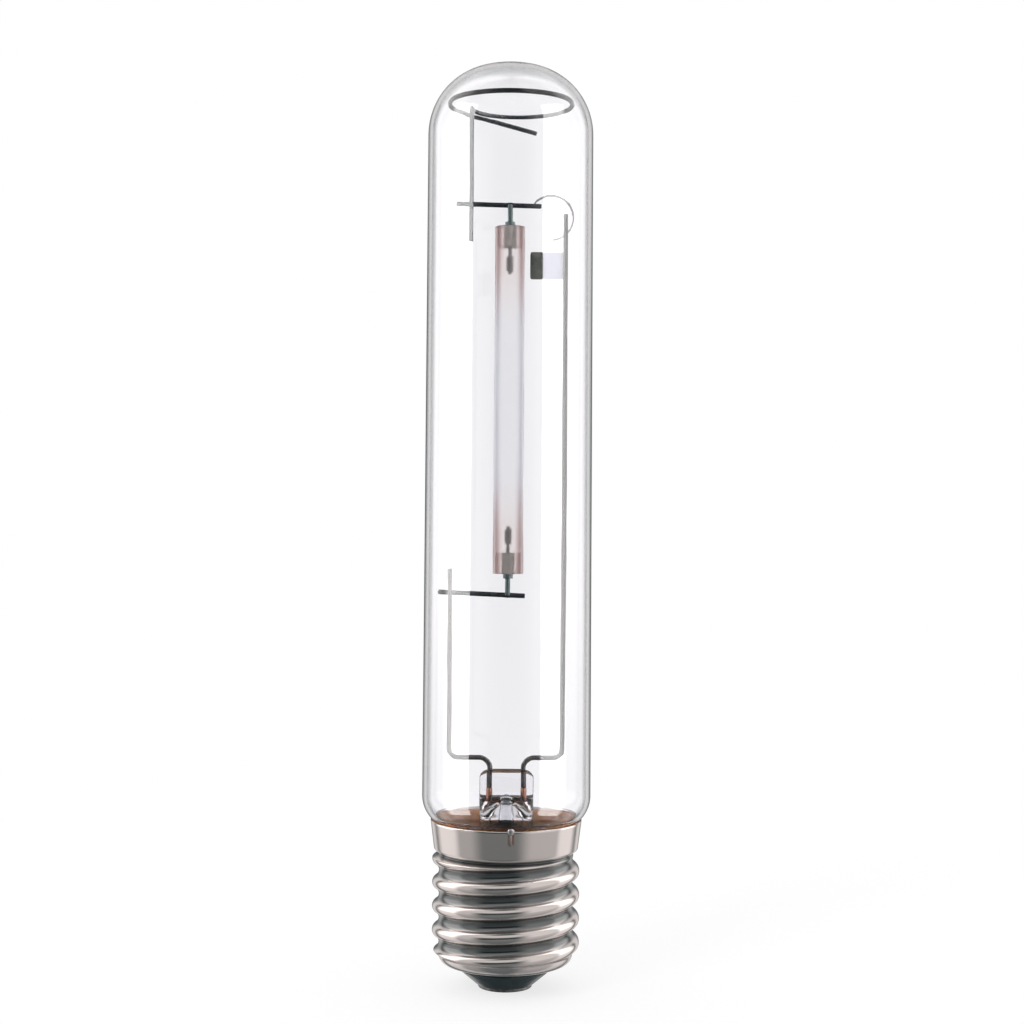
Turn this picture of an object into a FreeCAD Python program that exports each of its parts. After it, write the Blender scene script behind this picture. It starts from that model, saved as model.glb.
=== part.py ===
import FreeCAD, Part
import math
import os
import re

import Sketcher

# High pressure sodium lamp: a clear tubular bulb on a large screw cap.
# Frame: origin at the middle of the end contact, +Z up the lamp's axis, +X towards the
# return rod, -Y towards the side on which the side lead is welded to the rim.

Vector = FreeCAD.Vector
UP = Vector(0, 0, 1)

# Driving dimensions in millimetres, one to a row of the sheet.
SIZES = {
    # end contact and insulator
    "contact_radius": 7.2,
    "contact_height": 0.9,
    "contact_edge": 0.35,
    "contact_eye_radius": 1.3,
    "insulator_foot_radius": 7.6,
    "insulator_waist_radius": 12.5,
    "insulator_waist_height": 5.1,
    "insulator_bore_radius": 2.2,
    "insulator_flange_width": 1.6,
    "insulator_flange_height": 2.1,
    # rolled cap shell
    "sheet_wall": 0.45,
    "shell_floor_height": 6.5,
    "shell_eye_radius": 12.9,
    "shell_corner": 2.4,
    "thread_root_radius": 17.8,
    "thread_crest_radius": 19.6,
    "thread_pitch": 6.35,
    "thread_mark_height": 24.75,
    "thread_fade": 1.3,
    "thread_columns": 20,
    "thread_rows_per_pitch": 12,
    "skirt_height": 8.7,
    "groove_rise": 1.0,
    "skirt_foot_radius": 19.15,
    "rim_radius": 20.1,
    "cap_height": 44.6,
    "rim_notch_width": 0.6,
    "rim_notch_depth": 1.45,
    # cement between skirt and neck
    "cement_height": 6.0,
    "cement_below_rim": 1.0,
    # outer bulb
    "glass_wall": 1.2,
    "neck_below_rim": 22.6,
    "neck_radius": 16.5,
    "neck_bend": 4.0,
    "neck_lean": 50.0,
    "neck_shoulder_bend": 8.5,
    "shoulder_above_rim": 1.45,
    "tube_taper": 0.5,
    "tube_top_radius": 21.9,
    "crown_edge_radius": 9.0,
    "crown_bend": 30.0,
    "dome_room": 43.2,
    # glass stem
    "stem_radius": 7.2,
    "stem_wall": 1.1,
    "flare_lip": 1.6,
    "stem_above_rim": 1.4,
    "stem_cavity_rise": 2.5,
    "stem_cavity_radius": 2.6,
    "press_foot_rise": 5.2,
    "press_length": 6.7,
    "press_depth": 5.6,
    "press_edge": 2.2,
    "press_end_bend": 3.2,
    "exhaust_radius": 2.15,
    "exhaust_wall": 0.75,
    "exhaust_top_rise": 5.3,
    "exhaust_tip_height": 14.0,
    "vent_radius": 0.6,
    # wires through the press
    "pin_spacing": 8.8,
    "pin_radius": 0.75,
    "pin_foot_rise": 2.7,
    "pin_top_rise": 7.1,
    "lead_radius": 0.25,
    "lead_bend": 1.6,
    "centre_lead_turn_height": 13.5,
    "side_lead_offset": 1.3,
    "side_lead_bend": 0.3,
    "side_lead_fold": 3.2,
    "lead_below_neck": 2.2,
    # support rods
    "rod_radius": 0.65,
    "rod_elbow": 3.0,
    "rod_corner": 2.4,
    "rod_step_rise": 3.1,
    "left_rod_inset": 3.3,
    "left_rod_rise": 7.1,
    "right_rod_inset": 6.4,
    "right_rod_drop": 2.4,
    # cross bars
    "bar_radius": 0.65,
    "lower_bar_drop": 5.8,
    "lower_bar_inset": 2.5,
    "lower_bar_right": 4.6,
    "lower_bar_tilt": 2.3,
    "upper_bar_rise": 5.9,
    "upper_bar_inset": 2.0,
    "upper_bar_right": 8.2,
    "upper_bar_tilt": 1.4,
    # dome spring
    "spring_radius": 0.6,
    "spring_inset": 4.3,
    "spring_rise": 8.25,
    "spring_leg_inset": 3.9,
    "spring_leg_drop": 9.5,
    "spring_bend": 1.6,
    "spring_open_angle": 142.4,
    "spring_tail_turn": 2.0,
    "spring_tail_reach": 7.1,
    "spring_tail_setback": 10.5,
    "spring_tail_drop": 5.7,
    "spring_tail_dip": 0.4,
    # flexible strap
    "strap_width": 2.0,
    "strap_wall": 0.3,
    "strap_bend": 5.9,
    "strap_centre_inset": 3.8,
    "strap_centre_drop": 3.2,
    "strap_end_angle": 86.0,
    # getter
    "getter_foot_drop": 19.7,
    "getter_height": 7.2,
    "getter_left": 5.35,
    "getter_pellet_width": 3.45,
    "getter_pellet_depth": 0.9,
    "getter_pellet_edge": 0.4,
    "getter_strip_wall": 0.25,
    # arc tube
    "arc_tube_radius": 4.0,
    "arc_tube_wall": 0.8,
    "arc_tube_rise": 52.1,
    "arc_tube_length": 92.2,
    "plug_length": 5.5,
    "plug_bore_radius": 1.65,
    "niobium_radius": 1.3,
    "niobium_wall": 0.25,
    "niobium_stand_out": 1.3,
    "end_lead_radius": 0.65,
    "electrode_radius": 0.45,
    "electrode_length": 7.1,
    "coil_wire_radius": 0.25,
    "coil_pitch": 0.62,
    "coil_turns": 6.0,
    "coil_below_tip": 0.6,
    "wire_clearance": 0.03,
    # solder over the rim's notch
    "solder_width": 2.2,
    "solder_depth": 1.5,
    "solder_height": 2.2,
}

# Sizes that follow from the ones above, as formulas of their names.
FORMULAS = {
    "groove_height": "cap_height - skirt_height",
    "cement_foot_height": "cement_top_height - cement_height",
    "neck_foot_height": "cap_height - neck_below_rim",
    "neck_shoulder_height": "cap_height + shoulder_above_rim"
                            " + (tube_foot_radius - neck_radius) * lean_cos / lean_sin",
    "stem_shoulder_height": "cap_height + stem_above_rim",
    "skirt_foot_height": "groove_height + groove_rise",
    "shoulder_foot_height": "shell_floor_height + shell_corner",
    "tube_foot_radius": "tube_top_radius + tube_taper",
    "spring_ring_radius": "tube_top_radius - glass_wall - spring_inset",
    "upper_bar_left": "spring_ring_radius - upper_bar_inset",
    "spring_leg_reach": "upper_bar_left - spring_leg_inset",
    "lower_bar_left": "tube_foot_radius - glass_wall - lower_bar_inset",
    "left_rod_reach": "lower_bar_left - left_rod_inset",
    "right_rod_reach": "tube_foot_radius - glass_wall - right_rod_inset",
    "strap_centre_reach": "right_rod_reach - strap_centre_inset",
    "crown_cos": "sqrt(1 - (crown_edge_radius / crown_bend) ^ 2)",
    "crown_sin": "crown_edge_radius / crown_bend",
    "dome_bend": "(tube_top_radius - crown_edge_radius) / (1 - crown_sin)",
    "dome_centre": "tube_top_radius - dome_bend",
    "press_height": "stem_shoulder_height + press_foot_rise + press_length",
    "arc_tube_foot_height": "press_height + arc_tube_rise",
    "arc_tube_top_height": "arc_tube_foot_height + arc_tube_length",
    "bulb_height": "arc_tube_top_height + dome_room",
    "crown_centre_height": "bulb_height - crown_bend",
    "dome_foot_height": "crown_centre_height + (crown_bend - dome_bend) * crown_cos",
    "lean_cos": "cos(neck_lean * 1deg)",
    "lean_sin": "sin(neck_lean * 1deg)",
    "shoulder_centre": "tube_foot_radius - neck_shoulder_bend",
    "neck_centre": "neck_radius + neck_bend",
    "lean_top_radius": "shoulder_centre + neck_shoulder_bend * lean_cos",
    "lean_top_height": "neck_shoulder_height - neck_shoulder_bend * lean_sin",
    "lean_foot_radius": "neck_centre - neck_bend * lean_cos",
    "lean_foot_height": "lean_top_height - (lean_top_radius - lean_foot_radius) * lean_cos / lean_sin",
    "neck_top_height": "lean_foot_height - neck_bend * lean_sin",
    "lean_top_radius_in": "lean_top_radius - glass_wall * lean_cos",
    "lean_top_height_in": "lean_top_height + glass_wall * lean_sin",
    "lean_foot_radius_in": "lean_foot_radius - glass_wall * lean_cos",
    "lean_foot_height_in": "lean_foot_height + glass_wall * lean_sin",
    "cement_top_height": "cap_height - cement_below_rim",
    "skirt_slope": "(rim_radius - skirt_foot_radius) / (cap_height - skirt_foot_height)",
    "skirt_foot_height_in": "skirt_foot_height + sheet_wall / 2",
    "skirt_slope_in": "(rim_radius - skirt_foot_radius) / (cap_height - skirt_foot_height_in)",
    "lead_crossing_height": "cap_height - rim_notch_depth + lead_radius + wire_clearance",
    "side_lead_reach": "(neck_radius + thread_root_radius - sheet_wall) / 2",
    "flare_rim_radius": "neck_radius - glass_wall",
    "flare_bend": "flare_rim_radius - stem_radius",
    "flare_centre_height": "neck_foot_height + flare_lip + stem_wall + flare_bend",
    "stem_corner": "stem_radius * 0.5 ^ 0.5",
    "press_corner": "stem_radius - press_end_bend"
                    " + sqrt(press_end_bend ^ 2 - (press_depth / 2) ^ 2)",
    "pin_reach": "pin_spacing / 2",
    "stem_cavity_height": "stem_shoulder_height + stem_cavity_rise",
    "press_foot_height": "stem_shoulder_height + press_foot_rise",
    "exhaust_top_height": "stem_shoulder_height + exhaust_top_rise",
    "pin_foot_height": "stem_shoulder_height + pin_foot_rise",
    "pin_top_height": "stem_shoulder_height + pin_top_rise",
    "rod_step_height": "press_height + rod_step_rise",
    "lower_bar_height": "arc_tube_foot_height - lower_bar_drop",
    "upper_bar_height": "arc_tube_top_height + upper_bar_rise",
    "left_rod_height": "lower_bar_height + left_rod_rise",
    "right_rod_height": "upper_bar_height - right_rod_drop",
    "spring_height": "dome_foot_height + spring_rise",
    "spring_leg_foot_height": "upper_bar_height - spring_leg_drop",
    "strap_centre_height": "upper_bar_height - strap_centre_drop",
    "getter_foot_height": "upper_bar_height - getter_foot_drop",
    "bar_setback": "rod_radius + bar_radius",
    "plug_radius": "arc_tube_radius - arc_tube_wall",
}


def expanded(text):
    """A formula in which every derived name is replaced by its own formula."""
    def swap(match):
        word = match.group()
        return "(" + expanded(FORMULAS[word]) + ")" if word in FORMULAS else word
    return re.sub(r"[a-z_]+", swap, text)


def bound(text):
    """The same formula as an expression of the sheet's cells."""
    def swap(match):
        word = match.group()
        return "Sizes." + word if word in SIZES else word
    return re.sub(r"[a-z_]+", swap, expanded(text))


doc = FreeCAD.newDocument("sodium_lamp")
sheet = doc.addObject("Spreadsheet::Sheet", "Sizes")
for row, (alias, value) in enumerate(SIZES.items(), start=1):
    sheet.set(f"A{row}", alias.replace("_", " "))
    sheet.set(f"B{row}", str(value))
    sheet.setAlias(f"B{row}", alias)
doc.recompute()


def size(text):
    """The present value of a formula of the sheet's names."""
    value = sheet.evalExpression(bound(text))
    return float(getattr(value, "Value", value))


def origin_plane(body, role):
    return next(plane for plane in body.Origin.OriginFeatures if plane.Role == role)


def new_body(label):
    body = doc.addObject("PartDesign::Body", label)
    body.Label = label
    return body


def add_outline(sketch, corners, closed=True):
    """Draw lines and arcs through the corners and bind every corner to the sheet.

    A corner is (x, y) for a straight run to the next one, or (x, y, radius, side) for an
    arc, whose centre lies to the left of the run for side 1 and to the right for -1.
    """
    spots = [Vector(size(corner[0]), size(corner[1]), 0) for corner in corners]
    runs = len(corners) if closed else len(corners) - 1
    for index in range(runs):
        start, end = spots[index], spots[(index + 1) % len(spots)]
        if len(corners[index]) == 2:
            sketch.addGeometry(Part.LineSegment(start, end), False)
            continue
        radius, side = size(corners[index][2]), corners[index][3]
        chord = end - start
        left = UP.cross(chord).normalize()
        rise = math.sqrt(max(radius ** 2 - chord.Length ** 2 / 4, 0))
        centre = start + chord / 2 + left * side * rise
        middle = centre + (start + chord / 2 - centre).normalize() * radius
        sketch.addGeometry(Part.Arc(start, middle, end), False)
    for index in range(runs):
        geometry = sketch.Geometry[index]
        # An arc runs anticlockwise, so its first point is the run's end on the other side.
        flipped = len(corners[index]) == 4 and corners[index][3] < 0
        first, last = (2, 1) if flipped else (1, 2)
        tie_point(sketch, index, first, corners[index])
        if not closed and index == runs - 1:
            tie_point(sketch, index, last, corners[-1])
        else:
            following = (index + 1) % runs
            turned = len(corners[following]) == 4 and corners[following][3] < 0
            sketch.addConstraint(
                Sketcher.Constraint("Coincident", index, last, following, 2 if turned else 1))
        if len(corners[index]) == 4:
            spot = sketch.addConstraint(Sketcher.Constraint("Radius", index, geometry.Radius))
            sketch.setExpression(f"Constraints[{spot}]", bound(corners[index][2]))


def tie_point(sketch, index, point, corner):
    """Hold one end of a run at the corner's distances from the sketch's origin."""
    for kind, axis, text in (("DistanceX", -2, corner[0]), ("DistanceY", -1, corner[1])):
        if text == "0":
            sketch.addConstraint(Sketcher.Constraint("PointOnObject", index, point, axis))
            continue
        spot = sketch.addConstraint(Sketcher.Constraint(kind, -1, 1, index, point, size(text)))
        sketch.setExpression(f"Constraints[{spot}]", bound(text))


def turned(label, corners):
    """A piece turned about the lamp's axis from an outline of (radius, height) corners."""
    body = new_body(label)
    sketch = body.newObject("Sketcher::SketchObject", label + "_section")
    sketch.AttachmentSupport = [(origin_plane(body, "XZ_Plane"), "")]
    sketch.MapMode = "FlatFace"
    add_outline(sketch, corners)
    solid = body.newObject("PartDesign::Revolution", label + "_turned")
    solid.Profile = sketch
    solid.ReferenceAxis = (sketch, ["V_Axis"])
    solid.Angle = 360
    return body


def piped(label, corners, radius, foot):
    """A round wire along a flat path that starts straight up from the point foot."""
    body = new_body(label)
    path = body.newObject("Sketcher::SketchObject", label + "_path")
    path.AttachmentSupport = [(origin_plane(body, "XZ_Plane"), "")]
    path.MapMode = "FlatFace"
    add_outline(path, corners, closed=False)
    section = body.newObject("Sketcher::SketchObject", label + "_section")
    section.AttachmentSupport = [(origin_plane(body, "XY_Plane"), "")]
    section.MapMode = "FlatFace"
    section.setExpression("AttachmentOffset.Base.x", bound(foot[0]))
    section.setExpression("AttachmentOffset.Base.z", bound(foot[1]))
    section.addGeometry(Part.Circle(Vector(0, 0, 0), UP, size(radius)), False)
    section.addConstraint(Sketcher.Constraint("Coincident", 0, 3, -1, 1))
    spot = section.addConstraint(Sketcher.Constraint("Radius", 0, size(radius)))
    section.setExpression(f"Constraints[{spot}]", bound(radius))
    pipe = body.newObject("PartDesign::AdditivePipe", label + "_wire")
    pipe.Profile = section
    pipe.Spine = (path, [])
    return body


def primitive(kind, label, **formulas):
    """A Part primitive whose sizes and place are formulas of the sheet."""
    piece = doc.addObject(kind, label)
    piece.Label = label
    for key, text in formulas.items():
        piece.setExpression(key.replace("_", "."), bound(text))
    return piece


def cylinder(label, radius, height, foot, x="0", y="0"):
    piece = primitive("Part::Cylinder", label, Radius=radius, Height=height)
    for axis, text in (("x", x), ("y", y), ("z", foot)):
        piece.setExpression("Placement.Base." + axis, bound(text))
    return piece


def block(label, width, depth, height, x, y, z):
    piece = primitive("Part::Box", label, Length=width, Width=depth, Height=height)
    for axis, text in (("x", x), ("y", y), ("z", z)):
        piece.setExpression("Placement.Base." + axis, bound(text))
    return piece


def cut(label, base, *tools):
    """Base without its tools, each of which stays in the document."""
    tool = tools[0]
    if len(tools) > 1:
        tool = doc.addObject("Part::MultiFuse", label + "_tools")
        tool.Shapes = list(tools)
    piece = doc.addObject("Part::Cut", label)
    piece.Base = base
    piece.Tool = tool
    piece.Label = label
    return piece


def shaped(label, shape):
    piece = doc.addObject("Part::Feature", label)
    piece.Shape = shape
    piece.Label = label
    return piece


def bent_edges(corners, bend):
    """Straight edges between the corners, with a round bend of one radius at each turn."""
    edges = []
    start = corners[0]
    for before, corner, after in zip(corners, corners[1:], corners[2:]):
        arriving = (corner - before).normalize()
        leaving = (after - corner).normalize()
        turn = arriving.getAngle(leaving)
        if turn < 1e-6:
            continue
        step = bend * math.tan(turn / 2)
        first, last = corner - arriving * step, corner + leaving * step
        inward = (leaving - arriving).normalize()
        centre = corner + inward * (bend / math.cos(turn / 2))
        middle = centre - inward * bend
        edges.append(Part.LineSegment(start, first).toShape())
        edges.append(Part.Arc(first, middle, last).toShape())
        start = last
    edges.append(Part.LineSegment(start, corners[-1]).toShape())
    return edges


def wire_along(edges, radius):
    """A round wire of the given radius swept along a chain of tangent edges."""
    first = edges[0]
    heading = first.tangentAt(first.FirstParameter)
    section = Part.Wire(Part.makeCircle(radius, first.valueAt(first.FirstParameter), heading))
    return Part.Wire(edges).makePipeShell([section], True, True)


# The bulb's outside and inside share their bend centres, which keeps one wall throughout.
BULB_OUTSIDE = [
    ("neck_radius", "neck_foot_height"),
    ("neck_radius", "neck_top_height", "neck_bend", -1),
    ("lean_foot_radius", "lean_foot_height"),
    ("lean_top_radius", "lean_top_height", "neck_shoulder_bend", 1),
    ("tube_foot_radius", "neck_shoulder_height"),
    ("tube_top_radius", "dome_foot_height", "dome_bend", 1),
    ("crown_edge_radius", "crown_centre_height + crown_bend * crown_cos", "crown_bend", 1),
    ("0", "bulb_height"),
]


def build_outer_bulb():
    inside = [
        ("0", "bulb_height - glass_wall", "crown_bend - glass_wall", -1),
        ("(crown_bend - glass_wall) * crown_sin",
         "crown_centre_height + (crown_bend - glass_wall) * crown_cos",
         "dome_bend - glass_wall", -1),
        ("tube_top_radius - glass_wall", "dome_foot_height"),
        ("tube_foot_radius - glass_wall", "neck_shoulder_height",
         "neck_shoulder_bend - glass_wall", -1),
        ("lean_top_radius_in", "lean_top_height_in"),
        ("lean_foot_radius_in", "lean_foot_height_in", "neck_bend + glass_wall", 1),
        ("neck_radius - glass_wall", "neck_top_height"),
        ("neck_radius - glass_wall", "neck_foot_height"),
    ]
    return turned("outer_bulb", BULB_OUTSIDE + inside)


def build_neck_plug():
    """The bulb's outside filled in, to shape the cement that grips it."""
    return turned("neck_plug", BULB_OUTSIDE + [("0", "neck_foot_height")])


def thread_radius(around, height):
    """Outer radius of the rolled thread: equal arcs at crest and root, faded at both ends."""
    pitch = size("thread_pitch")
    root, crest = size("thread_root_radius"), size("thread_crest_radius")
    depth = crest - root
    bend = (pitch ** 2 / 4 + depth ** 2) / (4 * depth)
    turns = (height - size("thread_mark_height")) / pitch - around / (2 * math.pi)
    offset = abs(turns - round(turns)) * pitch
    if offset <= pitch / 4:
        full = crest - bend + math.sqrt(bend ** 2 - offset ** 2)
    else:
        full = root + bend - math.sqrt(bend ** 2 - (pitch / 2 - offset) ** 2)
    fade = size("thread_fade")
    inset = min(height - size("shoulder_foot_height"), size("groove_height") - height)
    share = min(max(inset / fade, 0), 1)
    return root + (full - root) * share * share * (3 - 2 * share)


def thread_sheet(inset, columns, rows):
    """The thread's surface as a cubic spline sheet, closed round the axis.

    Its poles stand on the thread's own radius, swelled a little because a closed cubic curve
    runs inside its poles, and at the spline's mean knots in height.
    """
    foot, top = size("shoulder_foot_height"), size("groove_height")
    swell = 3 / (2 + math.cos(2 * math.pi / columns))
    steps = [0] * 3 + list(range(rows + 1)) + [rows] * 3
    poles = []
    for column in range(columns):
        around = 2 * math.pi * (column - 1) / columns
        line = []
        for row in range(rows + 3):
            share = sum(steps[row + 1:row + 4]) / 3 / rows
            height = foot + (top - foot) * share
            radius = (thread_radius(around, height) - inset) * swell
            line.append(Vector(radius * math.cos(around), radius * math.sin(around), height))
        poles.append(line)
    surface = Part.BSplineSurface()
    surface.buildFromPolesMultsKnots(
        poles, [1] * (columns + 1), [4] + [1] * (rows - 1) + [4],
        list(range(columns + 1)), list(range(rows + 1)), True, False, 3, 3)
    return surface.toShape()


def turned_sheet(points, bends):
    """The surface that a chain of (radius, height) points sweeps round the axis."""
    spots = [Vector(radius, 0, height) for radius, height in points]
    edges = []
    for index, (start, end) in enumerate(zip(spots, spots[1:])):
        if index in bends:
            middle = Vector(bends[index][0], 0, bends[index][1])
            edges.append(Part.Arc(start, middle, end).toShape())
        else:
            edges.append(Part.LineSegment(start, end).toShape())
    return Part.Wire(edges).revolve(Vector(), UP, 360).Faces


def build_cap_shell():
    """Notched skirt, groove, threaded band and drawn-in floor of one thin sheet."""
    root, wall, corner = size("thread_root_radius"), size("sheet_wall"), size("shell_corner")
    floor, eye, foot = (size("shell_floor_height"), size("shell_eye_radius"),
                        size("shoulder_foot_height"))
    groove, rim, top = size("groove_height"), size("rim_radius"), size("cap_height")
    skirt, skirt_foot = size("skirt_foot_radius"), size("skirt_foot_height")
    slant = math.sin(math.pi / 4)
    inner = corner - wall
    floor_chain = [(root, foot), (root - corner, floor), (eye, floor), (eye, floor + wall),
                   (root - corner, floor + wall), (root - wall, foot)]
    floor_bends = {0: (root - corner + corner * slant, foot - corner * slant),
                   4: (root - corner + inner * slant, foot - inner * slant)}
    skirt_chain = [(root, groove), (skirt, skirt_foot), (rim, top), (rim - wall, top),
                   (skirt - wall, skirt_foot + wall / 2), (root - wall, groove + wall / 2),
                   (root - wall, groove)]
    columns = int(size("thread_columns"))
    rows = math.ceil((groove - foot) * size("thread_rows_per_pitch / thread_pitch"))
    faces = [thread_sheet(inset, columns, rows) for inset in (0, wall)]
    faces += turned_sheet(floor_chain, floor_bends) + turned_sheet(skirt_chain, {})
    # Joining the faces first gives neighbours shared edges, which sewing then finds.
    joined = faces[0].generalFuse(faces[1:], 0.001)[0]
    skin = Part.makeCompound(joined.Faces)
    skin.sewShape(0.01)
    blank = shaped("cap_shell_blank", Part.Solid(skin.Shells[0]))
    notch = block("rim_notch", "rim_notch_width", "3 * sheet_wall",
                  "rim_notch_depth + sheet_wall", "side_lead_offset - rim_notch_width / 2",
                  "-(rim_radius + sheet_wall)", "cap_height - rim_notch_depth")
    return cut("cap_shell", blank, notch)


def build_cap_insulator():
    return turned("cap_insulator", [
        ("insulator_bore_radius", "contact_height"),
        ("insulator_foot_radius", "contact_height"),
        ("insulator_waist_radius", "insulator_waist_height"),
        ("shell_eye_radius", "shell_floor_height"),
        ("shell_eye_radius", "shell_floor_height + sheet_wall"),
        ("shell_eye_radius + insulator_flange_width", "shell_floor_height + sheet_wall"),
        ("shell_eye_radius + insulator_flange_width",
         "shell_floor_height + sheet_wall + insulator_flange_height / 2"),
        ("shell_eye_radius", "shell_floor_height + sheet_wall + insulator_flange_height"),
        ("insulator_bore_radius",
         "shell_floor_height + sheet_wall + insulator_flange_height"),
    ])


def build_contact_plate():
    return turned("contact_plate", [
        ("contact_eye_radius", "0"),
        ("contact_radius - contact_edge", "0", "contact_edge", 1),
        ("contact_radius", "contact_edge"),
        ("contact_radius", "contact_height"),
        ("contact_eye_radius", "contact_height"),
    ])


def build_exhaust_tube(vent):
    """The tipped-off tube through which the bulb was emptied."""
    outside = turned("exhaust_outside", [
        ("0", "exhaust_tip_height", "exhaust_radius", 1),
        ("exhaust_radius", "exhaust_tip_height + exhaust_radius"),
        ("exhaust_radius", "exhaust_top_height - exhaust_radius", "exhaust_radius", 1),
        ("0", "exhaust_top_height"),
    ])
    inside = turned("exhaust_bore", [
        ("0", "exhaust_tip_height + exhaust_wall", "exhaust_radius - exhaust_wall", 1),
        ("exhaust_radius - exhaust_wall", "exhaust_tip_height + exhaust_radius"),
        ("exhaust_radius - exhaust_wall", "exhaust_top_height - exhaust_radius",
         "exhaust_radius - exhaust_wall", 1),
        ("0", "exhaust_top_height - exhaust_wall"),
    ])
    return outside, cut("exhaust_tube", outside, inside, vent)


def build_support_rod(label, side, reach, height):
    """A rod that leaves the press, steps outwards and runs up beside the arc tube."""
    turn, back = (-1, 1) if side > 0 else (1, -1)
    sign = "" if side > 0 else "-"
    corners = [
        (f"{sign}pin_reach", "pin_top_height"),
        (f"{sign}pin_reach", "rod_step_height - rod_elbow", "rod_elbow", turn),
        (f"{sign}(pin_reach + rod_elbow)", "rod_step_height"),
        (f"{sign}({reach} - rod_corner)", "rod_step_height", "rod_corner", back),
        (f"{sign}{reach}", "rod_step_height + rod_corner"),
        (f"{sign}{reach}", height),
    ]
    return piped(label, corners, "rod_radius", (f"{sign}pin_reach", "pin_top_height"))


def build_centre_lead():
    """From the left seal pin down the stem and in to the eye of the end contact."""
    turn = size("centre_lead_turn_height")
    corners = [
        Vector(-size("pin_reach"), 0, size("pin_foot_height")),
        Vector(-size("pin_reach"), 0, turn),
        Vector(0, 0, turn - size("pin_reach")),
        Vector(0, 0, size("contact_height") / 2),
    ]
    return shaped("centre_lead", wire_along(bent_edges(corners, size("lead_bend")),
                                            size("lead_radius")))


def build_side_lead():
    """From the right seal pin under the neck's foot, up the front and out over the skirt."""
    offset = size("side_lead_offset")
    low = size("neck_foot_height - lead_below_neck")
    crossing, end = size("lead_crossing_height"), size("cap_height - side_lead_fold")
    radius, wall, rim = size("lead_radius"), size("sheet_wall"), size("rim_radius")
    beside = size("lead_radius + wire_clearance")
    drop = size("cap_height") - crossing

    def front(reach, height):
        return Vector(offset, -math.sqrt(reach ** 2 - offset ** 2), height)

    corners = [
        Vector(size("pin_reach"), 0, size("pin_foot_height")),
        Vector(size("pin_reach"), 0, low),
        front(size("side_lead_reach"), low),
        front(size("side_lead_reach"), size("skirt_foot_height")),
        front(rim - wall - drop * size("skirt_slope_in") - beside, crossing),
        front(rim - drop * size("skirt_slope") + beside, crossing),
        front(rim - size("side_lead_fold") * size("skirt_slope") + beside, end),
    ]
    return shaped("side_lead", wire_along(bent_edges(corners, size("side_lead_bend")), radius))


def add_level_sketch(body, name, corners, height):
    """A sketch that lies level at the given height."""
    sketch = body.newObject("Sketcher::SketchObject", name)
    sketch.AttachmentSupport = [(origin_plane(body, "XY_Plane"), "")]
    sketch.MapMode = "FlatFace"
    sketch.setExpression("AttachmentOffset.Base.z", bound(height))
    add_outline(sketch, corners)
    return sketch


def build_glass_stem(cutters, exhaust, vent):
    """Flared tube, flattened at its top into a solid press round the wires."""
    body = turned("stem_blank", [
        ("0", "flare_centre_height - flare_bend - stem_wall"),
        ("flare_rim_radius", "flare_centre_height - flare_bend - stem_wall"),
        ("flare_rim_radius", "flare_centre_height - flare_bend", "flare_bend", -1),
        ("stem_radius", "flare_centre_height"),
        ("stem_radius", "stem_shoulder_height"),
        ("0", "stem_shoulder_height"),
    ])
    round_end = [("stem_corner", "-stem_corner", "stem_radius", 1),
                 ("stem_corner", "stem_corner", "stem_radius", 1),
                 ("-stem_corner", "stem_corner", "stem_radius", 1),
                 ("-stem_corner", "-stem_corner", "stem_radius", 1)]
    flat_end = [("press_corner", "-press_depth / 2", "press_end_bend", 1),
                ("press_corner", "press_depth / 2"),
                ("-press_corner", "press_depth / 2", "press_end_bend", 1),
                ("-press_corner", "-press_depth / 2")]
    lower = add_level_sketch(body, "press_root", round_end, "stem_shoulder_height")
    upper = add_level_sketch(body, "press_section", flat_end, "press_foot_height")
    loft = body.newObject("PartDesign::AdditiveLoft", "press_shoulder")
    loft.Profile = lower
    loft.Sections = [(upper, [""])]
    doc.recompute()
    outline = add_level_sketch(body, "press_outline", flat_end, "press_foot_height")
    press = body.newObject("PartDesign::Pad", "press")
    press.Profile = outline
    press.setExpression("Length", bound("press_height - press_foot_height"))
    doc.recompute()
    top = size("press_height")
    rim = [f"Edge{index}" for index, edge in enumerate(press.Shape.Edges, start=1)
           if abs(edge.BoundBox.ZMin - top) < 1e-6]
    edge = body.newObject("PartDesign::Fillet", "press_edge")
    edge.Base = (press, rim)
    edge.setExpression("Radius", bound("press_edge"))
    body.Tip = edge
    cavity = turned("stem_cavity", [
        ("0", "flare_centre_height - flare_bend - stem_wall"),
        ("flare_rim_radius", "flare_centre_height - flare_bend - stem_wall",
         "flare_bend + stem_wall", -1),
        ("stem_radius - stem_wall", "flare_centre_height"),
        ("stem_radius - stem_wall", "stem_shoulder_height - stem_wall"),
        ("stem_cavity_radius", "stem_cavity_height"),
        ("0", "stem_cavity_height"),
    ])
    return cut("glass_stem", body, cavity, exhaust, vent, *cutters)


def cross_bar(label, height, left, right, tilt):
    """A bar welded behind the rods, at its stated height on the lamp's axis."""
    bar = primitive("Part::Cylinder", label, Radius="bar_radius", Height=f"{left} + {right}")
    bar.setExpression("Placement.Base.x", bound(f"-{left} * cos({tilt} * 1deg)"))
    bar.setExpression("Placement.Base.y", bound("bar_setback"))
    bar.setExpression("Placement.Base.z", bound(f"{height} + {left} * sin({tilt} * 1deg)"))
    bar.setExpression("Placement.Rotation.Angle", bound(f"90deg + {tilt} * 1deg"))
    bar.setExpression("Placement.Rotation.Axis.x", "0")
    bar.setExpression("Placement.Rotation.Axis.y", "1")
    bar.setExpression("Placement.Rotation.Axis.z", "0")
    return bar


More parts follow.
